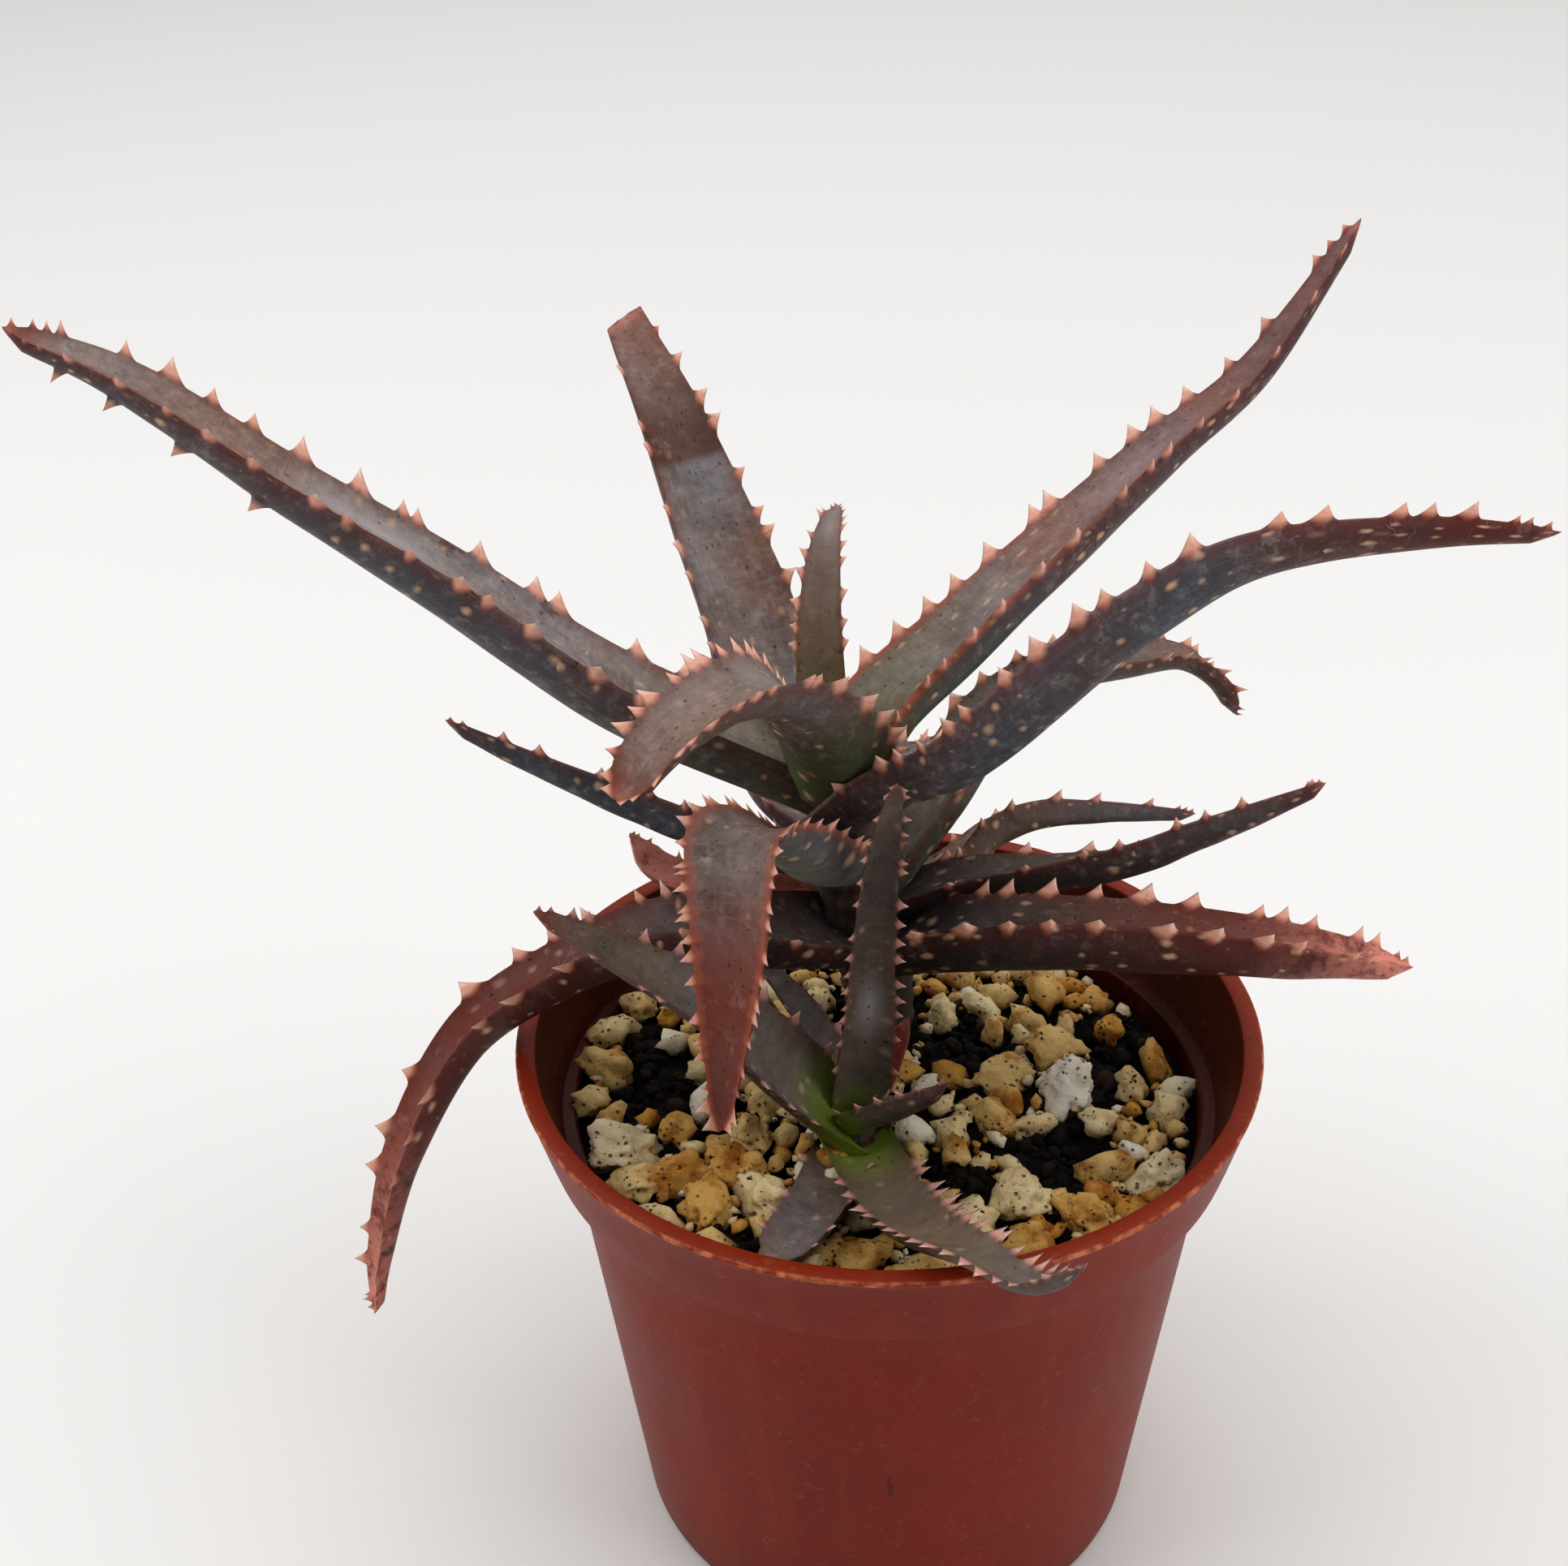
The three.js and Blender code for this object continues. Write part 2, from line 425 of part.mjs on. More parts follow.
function pumiceLump(x, y, radius, lift, next) {
  const geometry = mergeVertices(
    new THREE.BufferGeometry().setAttribute("position", new THREE.IcosahedronGeometry(1, 0).getAttribute("position")),
    1e-4,
  );
  const position = geometry.getAttribute("position");
  const stretch = [0.86 + 0.3 * next(), 0.82 + 0.3 * next(), 0.72 + 0.2 * next()];
  for (let i = 0; i < position.count; i++) {
    const bulge = 0.88 + 0.24 * next();
    position.setXYZ(i, position.getX(i) * bulge * stretch[0], position.getY(i) * bulge * stretch[1], position.getZ(i) * bulge * stretch[2]);
  }
  geometry.scale(radius, radius, radius);
  geometry.rotateZ(Math.PI * 2 * next());
  geometry.translate(x, y, MIX_TOP_Z + mixHeight(x, y) + lift);
  return solidOf(geometry);
}

// The room inside the pot, as a solid that stands clear of its walls, shelf and floor.
function potRoom() {
  const gap = CLEARANCE;
  const wallFoot = BASE_RADIUS - BODY_WALL - gap;
  const wallTop = BODY_TOP_RADIUS - BODY_WALL - gap;
  const collar = COLLAR_FOOT_RADIUS - COLLAR_WALL - gap;
  const profile = [
    [0, FLOOR_THICKNESS + gap], [wallFoot - 0.9, FLOOR_THICKNESS + gap], [wallFoot, FLOOR_THICKNESS + 1.2],
    [wallTop, SHELF_Z], [wallTop, SHELF_Z + gap], [collar - 0.2, SHELF_Z + gap], [collar, POT_HEIGHT - 3], [0, POT_HEIGHT - 3],
  ];
  return solidOf(latheSolid(profile, POT_SEGMENTS));
}

function mixSolid() {
  const foot = FLOOR_THICKNESS - 1;
  const profile = [
    [0, foot], [38, foot], [38, MIX_TOP_Z], [31, MIX_TOP_Z], [24, MIX_TOP_Z], [17, MIX_TOP_Z], [10, MIX_TOP_Z], [0, MIX_TOP_Z],
  ];
  const geometry = latheSolid(profile, MIX_SEGMENTS);
  const position = geometry.getAttribute("position");
  for (let i = 0; i < position.count; i++) {
    if (position.getZ(i) > MIX_TOP_Z - 0.01) {
      position.setZ(i, MIX_TOP_Z + mixHeight(position.getX(i), position.getY(i)));
    }
  }
  let solid = solidOf(geometry);
  if (solid.volume() < 0) throw new Error("potting mix is inside out");
  const next = numberStream(PUMICE_SEED);
  const placed = [];
  for (const [x, y, radius, lift] of PUMICE) {
    solid = solid.add(pumiceLump(x, y, radius, lift, next));
    placed.push([x, y, radius]);
  }
  let tries = 0;
  while (placed.length < PUMICE.length + PUMICE_SCATTER && tries < 4000) {
    tries += 1;
    const angle = 2 * Math.PI * next();
    const reach = 34.5 * Math.sqrt(next());
    const radius = 1.4 + 1.3 * next();
    const [x, y] = [reach * Math.cos(angle), reach * Math.sin(angle)];
    if (placed.some(([px, py, pr]) => Math.hypot(px - x, py - y) < 0.92 * (pr + radius))) continue;
    if (Math.hypot(x + 1, y - 14) < 5.5 || Math.hypot(x + 3.5, y + 8) < 5) continue;
    solid = solid.add(pumiceLump(x, y, radius, 0.6, next));
    placed.push([x, y, radius]);
  }
  return solid.intersect(potRoom());
}

// ---- assembly ----
const trunk = trunkSolid(TRUNK, 0);
const offsetTrunk = trunkSolid(OFFSET_TRUNK, 0);
const trunkRoom = trunkSolid(TRUNK, CLEARANCE);
const offsetTrunkRoom = trunkSolid(OFFSET_TRUNK, CLEARANCE);

const nodes = { pot: potSolid(), trunk, offset_trunk: offsetTrunk };
const rooms = [trunkRoom, offsetTrunkRoom];
for (const [name, leaf] of Object.entries(LEAVES)) {
  const whole = leafSolid(leaf, 0);
  let cut = whole;
  for (const room of rooms) if (boxesMeet(cut, room)) cut = cut.subtract(room);
  nodes[name] = tidied(cut);
  rooms.push(
    leafSolid(leaf, CLEARANCE)
      .add(whole)
      .add(whole.translate(0, 0, CLEARANCE))
      .add(whole.translate(0, 0, -CLEARANCE)),
  );
}
let mix = mixSolid();
for (const room of rooms) if (boxesMeet(mix, room)) mix = mix.subtract(room);
nodes.potting_mix = tidied(mix);

const COLORS = { pot: 0x8a3b2a, potting_mix: 0x8d7c5a, trunk: 0x5c4636, offset_trunk: 0x5c4636, leaf_dry: 0x7a2418, dry_scale: 0x8a2a18 };
const group = new THREE.Group();
for (const [name, solid] of Object.entries(nodes)) {
  const material = new THREE.MeshStandardMaterial({ color: COLORS[name] ?? 0x5f6657, roughness: 0.6 });
  const mesh = new THREE.Mesh(geometryOf(solid), material);
  mesh.name = name;
  group.add(mesh);
}

export default group;
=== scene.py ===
import math
import random

import bpy
import numpy as np
from mathutils import Euler, Matrix, Vector, noise


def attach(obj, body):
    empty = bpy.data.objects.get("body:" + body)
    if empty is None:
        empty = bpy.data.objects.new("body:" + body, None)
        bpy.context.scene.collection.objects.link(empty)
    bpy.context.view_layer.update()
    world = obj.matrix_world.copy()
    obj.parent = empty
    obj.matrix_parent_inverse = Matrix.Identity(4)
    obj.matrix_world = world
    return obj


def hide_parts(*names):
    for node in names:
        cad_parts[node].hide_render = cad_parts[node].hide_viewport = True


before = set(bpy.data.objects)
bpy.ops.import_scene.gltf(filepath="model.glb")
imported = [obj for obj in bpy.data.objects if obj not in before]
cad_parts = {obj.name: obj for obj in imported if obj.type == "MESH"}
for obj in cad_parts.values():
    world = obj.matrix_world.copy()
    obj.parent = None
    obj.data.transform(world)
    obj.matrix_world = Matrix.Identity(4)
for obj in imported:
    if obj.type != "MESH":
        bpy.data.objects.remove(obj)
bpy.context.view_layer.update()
mm = 0.001
clearance = 0.35
print("frame loaded:", len(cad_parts), "nodes")


# Small helpers

def deselectAll():
    if bpy.context.object and bpy.context.object.mode != "OBJECT":
        bpy.ops.object.mode_set(mode="OBJECT")
    bpy.ops.object.select_all(action="DESELECT")


def pickOnly(piece):
    deselectAll()
    piece.select_set(True)
    bpy.context.view_layer.objects.active = piece


def enterEdit(piece):
    pickOnly(piece)
    bpy.ops.object.mode_set(mode="EDIT")
    bpy.ops.mesh.select_mode(type="VERT")


def closeOpenEdges():
    # caps every open edge loop of the mesh in edit mode and turns its faces outward
    bpy.ops.mesh.select_all(action="DESELECT")
    bpy.ops.mesh.select_non_manifold()
    bpy.ops.mesh.edge_face_add()
    bpy.ops.mesh.select_all(action="SELECT")
    bpy.ops.mesh.normals_make_consistent(inside=False)
    bpy.ops.object.mode_set(mode="OBJECT")


def startTube(name, stations, ringSize):
    # a flat grid to be rolled up, with the station and the place round the section of each vertex
    deselectAll()
    bpy.ops.mesh.primitive_grid_add(x_subdivisions=stations, y_subdivisions=ringSize, size=1)
    piece = bpy.context.object
    piece.name = name
    flat = np.empty(len(piece.data.vertices) * 3)
    piece.data.vertices.foreach_get("co", flat)
    flat = flat.reshape(-1, 3)
    u, station = np.unique(np.round(flat[:, 0] + 0.5, 6), return_inverse=True)
    ring = np.round((flat[:, 1] + 0.5) * ringSize).astype(int) % ringSize
    return piece, u, station, ring


def closeTube(piece):
    enterEdit(piece)
    bpy.ops.mesh.select_all(action="SELECT")
    bpy.ops.mesh.remove_doubles(threshold=2e-6)
    closeOpenEdges()
    bpy.ops.object.shade_smooth()


def toLinear(hexColour):
    channels = [int(hexColour[i:i + 2], 16) / 255 for i in (1, 3, 5)]
    linear = [c / 12.92 if c <= 0.04045 else ((c + 0.055) / 1.055) ** 2.4 for c in channels]
    return (*linear, 1.0)


def finishPiece(piece, material, nodeName=None):
    piece.data.materials.append(material)
    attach(piece, "root")
    if nodeName:
        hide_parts(nodeName)


def joinPieces(pieces, name):
    deselectAll()
    for piece in pieces:
        piece.select_set(True)
    bpy.context.view_layer.objects.active = pieces[0]
    bpy.ops.object.join()
    joined = bpy.context.object
    joined.name = name
    joined.data.name = name
    return joined


def addNode(tree, kind, settings=None, inputs=None):
    # inputs take a number, a colour, or a socket to link from
    node = tree.nodes.new(kind)
    for key, value in (settings or {}).items():
        setattr(node, key, value)
    for key, value in (inputs or {}).items():
        if isinstance(value, bpy.types.NodeSocket):
            tree.links.new(value, node.inputs[key])
        else:
            node.inputs[key].default_value = value
    return node


def newMaterial(name):
    material = bpy.data.materials.new(name)
    material.use_nodes = True
    tree = material.node_tree
    tree.nodes.clear()
    return material, tree


def placeOf(tree):
    return addNode(tree, "ShaderNodeTexCoord").outputs["Object"]


def closeMaterial(tree, colour, roughness, others, bump=None):
    # bump is its strength, its depth in metres and its height
    inputs = {"Base Color": colour, "Roughness": roughness, **others}
    if bump:
        strength, depth, height = bump
        inputs["Normal"] = addNode(tree, "ShaderNodeBump", None, {
            "Strength": strength, "Distance": depth, "Height": height}).outputs["Normal"]
    shader = addNode(tree, "ShaderNodeBsdfPrincipled", None, inputs)
    addNode(tree, "ShaderNodeOutputMaterial", None, {"Surface": shader.outputs[0]})


def attributeOf(tree, name):
    return addNode(tree, "ShaderNodeAttribute", {"attribute_name": name}).outputs["Fac"]


def noiseOf(place, scale, detail=2.0, roughness=0.5, output="Fac"):
    return addNode(place.id_data, "ShaderNodeTexNoise", None, {
        "Vector": place, "Scale": scale, "Detail": detail, "Roughness": roughness}).outputs[output]


def stretchOf(place, scale):
    node = addNode(place.id_data, "ShaderNodeMapping", None, {"Vector": place, "Scale": scale})
    return node.outputs["Vector"]


def colourOf(plan, colour):
    # a colour may be given by its name in the plan
    return toLinear(plan[colour]) if isinstance(colour, str) else colour


def coatAll(plan, colour, coats):
    # each coat is how much of it shows and its colour, laid one over the other
    colour = colourOf(plan, colour)
    for factor, tone in coats:
        colour = addNode(factor.id_data, "ShaderNodeMix", {"data_type": "RGBA"},
                         {0: factor, 6: colour, 7: colourOf(plan, tone)}).outputs[2]
    return colour


def rampOf(plan, factor, stops):
    node = addNode(factor.id_data, "ShaderNodeValToRGB", None, {"Fac": factor})
    ramp = node.color_ramp
    while len(ramp.elements) < len(stops):
        ramp.elements.new(0.5)
    for element, (place, colour) in zip(ramp.elements, stops):
        element.position = place
        element.color = colourOf(plan, colour)
    return node.outputs["Color"]


def fade(factor, low, high, end=1.0, start=0.0):
    # goes from start to end as the factor passes from low to high
    return rampOf(None, factor, [(low, (start, start, start, 1)), (high, (end, end, end, 1))])


def calculate(operation, first, second=0.0, clamp=True, third=0.0):
    socket = first if isinstance(first, bpy.types.NodeSocket) else second
    return addNode(socket.id_data, "ShaderNodeMath", {"operation": operation, "use_clamp": clamp},
                   {0: first, 1: second, 2: third}).outputs[0]


def times(product, *others):
    for other in others:
        product = calculate("MULTIPLY", product, other)
    return product


def addUp(total, *others):
    for other in others:
        total = calculate("ADD", total, other, False)
    return total


# Camera and light

cameraPlan = {
    "place": (0.0, -194.25, 212.39),  # mm
    "turn": (59.7, 1.29, 2.52),  # degrees, the head tipped down by 30
    "lens": 48.11,
    "filmWidth": 36.0,
}


def makeCamera(plan):
    deselectAll()
    turn = Euler([math.radians(a) for a in plan["turn"]])
    bpy.ops.object.camera_add(location=[c * mm for c in plan["place"]], rotation=turn)
    camera = bpy.context.object
    camera.name = "photoCamera"
    camera.data.lens = plan["lens"]
    camera.data.sensor_width = plan["filmWidth"]
    camera.data.clip_start = 0.01
    bpy.context.scene.camera = camera


makeCamera(cameraPlan)

lightPlan = {
    "lamps": [  # name, place in mm, turn in degrees, size in mm and watts
        ("ceilingLight", (0, 420, 1150), (-12, 0, 0), 2400, 16.6),
        ("windowLight", (-620, -120, 520), (48, 0, -79), 600, 1.6),
        ("fillLight", (620, -200, 420), (58, 0, 72), 600, 1.6),
    ],
    "worldGrey": 0.25,
}


def makeLights(plan):
    for name, place, turn, size, watts in plan["lamps"]:
        deselectAll()
        bpy.ops.object.light_add(type="AREA", location=[c * mm for c in place],
                                 rotation=[math.radians(a) for a in turn])
        light = bpy.context.object
        light.name = name
        light.data.size = size * mm
        light.data.energy = watts
    world = bpy.data.worlds.new("studio")
    bpy.context.scene.world = world
    world.use_nodes = True
    background = world.node_tree.nodes["Background"]
    grey = plan["worldGrey"]
    background.inputs["Color"].default_value = (grey, grey, grey * 1.01, 1)


makeLights(lightPlan)
bpy.context.scene.view_settings.view_transform = "Standard"
bpy.context.scene.view_settings.look = "Medium High Contrast"

floorPlan = {"size": 3000, "level": -0.2, "colour": "#e9e8e6"}


def makeFloor(plan):
    deselectAll()
    bpy.ops.mesh.primitive_plane_add(size=plan["size"] * mm, location=(0, 0, plan["level"] * mm))
    floor = bpy.context.object
    floor.name = "floor"
    material, tree = newMaterial("mattePaperFloor")
    closeMaterial(tree, toLinear(plan["colour"]), 0.85, {"Specular IOR Level": 0.2})
    floor.data.materials.append(material)


makeFloor(floorPlan)
print("camera, lights and floor made")


# Materials of the leaves. The attributes are written by growLeaf: run and girth are mm along the leaf and
# round its section, upper is 1 on the channelled face, edge is 1 on the margins, tooth is 1 at the point
# of a tooth, blush is the warm patch round each, and the others say how far a stain of that name has spread,
# except two, which say how much painted sheen and how much painted shade lie there.

def leafMaterial(name, skin):
    material, tree = newMaterial(name)
    place = placeOf(tree)
    skinPlace = addNode(tree, "ShaderNodeCombineXYZ", None,
                        {"X": attributeOf(tree, "run"), "Y": attributeOf(tree, "girth")}).outputs["Vector"]
    wobbled = addNode(tree, "ShaderNodeVectorMath", {"operation": "MULTIPLY_ADD"}, {
        0: noiseOf(place, 900.0, output="Color"), 1: (0.55, 0.55, 0.0), 2: skinPlace}).outputs["Vector"]
    upper = attributeOf(tree, "upper")
    spotty = attributeOf(tree, "spotty")
    tooth = attributeOf(tree, "tooth")
    gathered = fade(noiseOf(place, 105.0, 1.0), 0.36, 0.6, 1.0, 0.25)
    clouds = noiseOf(place, 150.0, 6.0, 0.62)
    patches = noiseOf(place, 62.0)
    blotches = noiseOf(place, 640.0, 5.0, 0.68)
    grain = noiseOf(place, 1500.0, 3.0)

    def spotsOf(length, spacing, low, high, present):
        # warts on a grid of cells that follows the skin, with radii as shares of a cell
        cells = addNode(tree, "ShaderNodeTexVoronoi", {"voronoi_dimensions": "2D"}, {
            "Vector": stretchOf(wobbled, (length, 1.0, 1.0)), "Scale": 1.0 / spacing, "Randomness": 0.8})
        dice = addNode(tree, "ShaderNodeSeparateColor", None, {"Color": cells.outputs["Color"]})
        reach = calculate("MULTIPLY_ADD", dice.outputs["Red"], high - low, True, low)
        inside = calculate("SUBTRACT", reach, cells.outputs["Distance"])
        there = calculate("LESS_THAN", dice.outputs["Green"], times(gathered, 1.4 * present))
        return times(fade(inside, 0.0, 0.16), there)

    # skin of the two faces, each clouded between a greyer and a warmer tone
    below = coatAll(skin, "under", [(fade(patches, 0.42, 0.62), "underWarm")])
    top = coatAll(skin, "upper", [(fade(patches, 0.4, 0.62), "upperWarm")])
    redTone = coatAll(skin, "redUnder", [(upper, "red")])
    # lines run the length of the leaf, and fainter ones across its upper face
    lines = noiseOf(stretchOf(skinPlace, (0.12, 2.2, 1.0)), 1.0, 3.0)
    crossLines = noiseOf(stretchOf(wobbled, (2.6, 0.22, 1.0)), 1.0, 3.0)
    mostlyAbove = calculate("MULTIPLY_ADD", upper, 0.85, True, 0.15)
    # raised pale warts: round and bold below, few and soft or long and faint on the channelled face
    roundSpots = times(spotsOf(0.85, skin["wartSpacing"], 0.08, 0.27, skin["warts"]),
                       calculate("SUBTRACT", 1.0, upper))
    boldSpots = times(spotsOf(0.8, 3.9, 0.06, 0.18, skin["boldSpots"]),
                      calculate("MULTIPLY_ADD", spotty, 0.7, True, 0.3))
    longSpots = times(spotsOf(0.55, 1.8, 0.08, 0.27, skin["longSpots"]), upper, spotty)
    # dark pinpricks, pale grazes, and hairline cracks where the wax has split
    flecks = times(spotsOf(0.5, 0.8, 0.05, 0.2, 0.26), upper)
    grazes = times(fade(noiseOf(place, 520.0, 7.0, 0.75), 0.54, 0.72, 0.5), fade(patches, 0.42, 0.58))
    split = calculate("SUBTRACT", noiseOf(place, 330.0, 2.0, 0.6), 0.5, False)
    cracks = times(fade(calculate("ABSOLUTE", split, 0.0, False), 0.003, 0.012, 0.0, 1.0),
                   fade(noiseOf(place, 190.0), 0.63, 0.68, 0.3))
    colour = coatAll(skin, below, [
        (upper, top),
        (fade(clouds, 0.34, 0.56, 0.0, 0.5), "dark"),
        (fade(blotches, 0.52, 0.7, 0.34), "bloom"),
        (fade(blotches, 0.3, 0.47, 0.0, 0.42), "dark"),
        # painted sheen: a pale band down the middle of the channelled face, which also lightens leaves that
        # lie in shade
        (attributeOf(tree, "paintedSheen"), "wax"),
        (fade(lines, 0.5, 0.75, 0.1), "bloom"),
        (fade(lines, 0.3, 0.47, 0.0, 0.1), "dark"),
        (times(fade(crossLines, 0.54, 0.74, 0.2), mostlyAbove), "bloom"),
        (attributeOf(tree, "tan"), "tan"),
        (attributeOf(tree, "green"), "green"),
        (times(attributeOf(tree, "red"), fade(clouds, 0.3, 0.6, 1.0, 0.7)), redTone),
        # painted shade: the parts of a leaf that other leaves shade are darkened, at a strength set from base
        # to tip
        (attributeOf(tree, "paintedShade"), "deep"),
        (times(attributeOf(tree, "edge"), fade(clouds, 0.36, 0.6, skin["edgeStrength"], 0.25)), "edge"),
        # the tip dries to a pale crust, in patches
        (times(fade(noiseOf(place, 420.0, 5.0, 0.7), 0.36, 0.52), attributeOf(tree, "crust")), "crust"),
        (attributeOf(tree, "pale"), "pale"),
        # a band where the leaf once dried back, and corky scars along the margins
        (times(attributeOf(tree, "band"), 0.85), "scar"),
        (times(fade(noiseOf(place, 260.0, 4.0, 0.7), 0.6, 0.64), attributeOf(tree, "scar")), "scar"),
        (times(roundSpots, skin["spotStrength"]), "spot"),
        (times(longSpots, 0.62), "spot"),
        (times(boldSpots, 0.8), "spot"),
        (times(flecks, 0.75), "fleck"),
        (times(grazes, skin["grazes"]), "bloom"),
        (times(cracks, skin["grazes"]), "bloom"),
        # the teeth, each on a warm patch
        (fade(attributeOf(tree, "blush"), 0.35, 0.9, 0.75), "blush"),
        (fade(tooth, 0.1, 0.34), "tooth"),
        (fade(tooth, 0.45, 0.95), "toothTip"),
    ])
    height = addUp(times(grain, 0.22), times(calculate("ADD", roundSpots, flecks), 0.9),
                   times(lines, 0.18), times(crossLines, 0.2), times(clouds, 1.2))
    satin, dull = skin["gloss"]
    closeMaterial(tree, colour, fade(clouds, 0.3, 0.7, dull, satin), {
        "IOR": 1.42, "Specular IOR Level": 0.34, "Subsurface Weight": 0.05, "Subsurface Scale": 0.0015,
    }, (0.6, 0.0003, height))
    return material


# Aloe skin: a thick waxy cuticle, so a soft satin shine over muted colour, with calcium-pale warts
aloeSkin = leafMaterial("waxyAloeSkin", {
    "upper": "#898283", "upperWarm": "#866b5f", "under": "#4e555e", "underWarm": "#5b5051",
    "dark": "#3f3432", "bloom": "#b3a9a5", "green": "#5a6c22", "red": "#78301c", "redUnder": "#5e2316",
    "deep": "#211b17", "tan": "#7d6654", "edge": "#6c2a1e", "edgeStrength": 0.5, "crust": "#d98d7d",
    "pale": "#77796f", "wax": "#aaa6a8", "scar": "#57301d", "spot": "#cba688", "wartSpacing": 2.7,
    "warts": 0.7, "longSpots": 0.35, "boldSpots": 0.45, "spotStrength": 0.9, "fleck": "#2c2320",
    "grazes": 0.8, "blush": "#b9644c", "tooth": "#e5ab95", "toothTip": "#f7d9cb", "gloss": (0.42, 0.58),
})
# The offset is younger: the same cuticle, greyer and more purple, and almost without warts
offsetSkin = leafMaterial("waxyOffsetSkin", {
    "upper": "#726865", "upperWarm": "#7a6858", "under": "#5d5555", "underWarm": "#66564e",
    "dark": "#453b3b", "bloom": "#998f8d", "green": "#86a80c", "red": "#78342a", "redUnder": "#6a2c24",
    "deep": "#2a2424", "tan": "#7d6a52", "edge": "#6c4640", "edgeStrength": 0.5, "crust": "#a77c70",
    "pale": "#7b7d5a", "wax": "#aaa6a8", "scar": "#4a332c", "spot": "#b5a68c", "wartSpacing": 3.0,
    "warts": 0.35, "longSpots": 0.1, "boldSpots": 0.55, "spotStrength": 0.75, "fleck": "#38302f",
    "grazes": 0.55, "blush": "#ab776c", "tooth": "#d09d91", "toothTip": "#f1d5cb", "gloss": (0.45, 0.6),
})
# A dead leaf: the skin is dry parchment, rust red and matt
drySkin = leafMaterial("dryLeafParchment", {
    "upper": "#86382a", "upperWarm": "#a05a46", "under": "#94503c", "underWarm": "#a56a54",
    "dark": "#4c1a12", "bloom": "#b88a74", "green": "#6a3a20", "red": "#7c2c1c", "redUnder": "#8a4030",
    "deep": "#42120c", "tan": "#b07a62", "edge": "#a8755c", "edgeStrength": 0.9, "crust": "#c88f86",
    "pale": "#a06a52", "wax": "#aaa6a8", "scar": "#3a150e", "spot": "#9a6650", "wartSpacing": 5.0,
    "warts": 0.2, "longSpots": 0.1, "boldSpots": 0.05, "spotStrength": 0.3, "fleck": "#3a120b",
    "grazes": 0.9, "blush": "#a4654e", "tooth": "#b98268", "toothTip": "#d8b49c", "gloss": (0.55, 0.75),
})
print("leaf materials made")


# Leaves. Each starts as a flat grid that is rolled round the leaf's section and laid along its spine.
# A station is x, y, z, width, thickness and depth of the channel in mm, base first. The stations and roll, in
# degrees, follow the plan of the solids, but the upper left leaf rolls less here, and the front hanging leaf
# and the right leaf of the offset are narrower near the tip. Places along a leaf are shares of its length.
# red, green, crust, band and streak say where such a stain begins or lies and how strong it is, and the
# painted sheen where it lies and how strong it is; tan, rosy and the painted shade are their strength from
# base to tip.

sectionPlan = {
    # places across the upper face and angles round the underside, close together at the margins
    "across": [-1, -0.975, -0.93, -0.86, -0.72, -0.5, -0.25, 0, 0.25, 0.5, 0.72, 0.86, 0.93, 0.975, 1],
    "angles": [3, 7, 13, 20, 30, 43, 58, 74, 90, 106, 122, 137, 150, 160, 167, 173, 177],
    "stationEvery": 0.26,  # mm along the leaf
    "bowlPower": 2.2, "keelPower": 0.8,  # how flat the channel's bottom is, and how round the underside
    "sag": 0.018,  # how far the middle of the channel sinks, as a share of half the width
    "swell": 0.18, "ripple": 0.3,  # mm
    "shoulder": 10, "spine": 1.5,  # where the short spines of an underside stand, and their height in mm
}


# what a leaf is like where its own plan says nothing
commonLeaf = {
    "roll": (0, 0), "slant": 0.0, "tipLong": 3.6, "splay": (0.7, 0.66), "teethFrom": 0.12, "tipTeeth": 0.55,
    "keelTeeth": (), "blushReach": 0.24, "blushLong": 0.45, "wrinkle": (2.0, 3.0), "rosy": (0, 0),
    "paintedShade": (0, 0), "tan": (0, 0), "band": (0.8, 0.0), "paintedSheen": (0.5, 0.0), "green": (0.1, 0.0),
    "crust": (0.97, 0.5), "streak": (0.0, 0.5, 0.0),
}

toothPlan = {
    "first": {1: 0.55, -1: 0.25},  # where in its pitch the first tooth of each margin stands
    "last": 0.98, "jitter": 0.36, "sizes": (0.85, 1.28),
    "nearTip": 0.92, "nearTipSize": 0.7, "tipSpines": (0.962, 0.986), "tipJitter": 0.004,
    "rootBelow": 0.95, "rootAbove": 0.62, "sharpness": 1.7,  # it is steeper towards the leaf's tip
}


def curvePoints(points, u):
    # a uniform Catmull-Rom curve through the points, as the solids use, and its direction
    points = np.array(points, float)
    if points.ndim == 1:
        points = points[:, None]
    before = 2 * points[0] - points[1]
    after = 2 * points[-1] - points[-2]
    padded = np.vstack([before, points, after])
    place = np.clip(u * (len(points) - 1), 0, len(points) - 1 - 1e-9)
    i = place.astype(int)
    t = (place - i)[:, None]
    a, b, c, d = padded[i], padded[i + 1], padded[i + 2], padded[i + 3]
    at = 0.5 * (2 * b + (c - a) * t + (2 * a - 5 * b + 4 * c - d) * t**2 + (3 * b - a - 3 * c + d) * t**3)
    along = 0.5 * ((c - a) + 2 * (2 * a - 5 * b + 4 * c - d) * t + 3 * (3 * b - a - 3 * c + d) * t**2)
    return at, along


def unit(vectors):
    return vectors / np.linalg.norm(vectors, axis=1, keepdims=True)


def lengthOf(spine):
    return np.linalg.norm(np.diff(spine, axis=0), axis=1).sum()


def smoothStep(low, high, value):
    t = np.clip((value - low) / (high - low), 0, 1)
    return t * t * (3 - 2 * t)


def smoothBand(start, full, fading, end, value):
    return smoothStep(start, full, value) * (1 - smoothStep(fading, end, value))


def leafFrames(leaf, spine, u):
    at, along = curvePoints(spine, u)
    along = unit(along)
    level = np.array(leaf.get("side", np.cross((spine[-1] - spine[0]) * (1, 1, 0), (0, 0, 1))), float)
    side = unit(level - along * (along @ level)[:, None])
    up = np.cross(side, along)
    roll = np.radians(curvePoints(leaf["roll"], u)[0])
    return at, along, side * np.cos(roll) - up * np.sin(roll), up * np.cos(roll) + side * np.sin(roll)


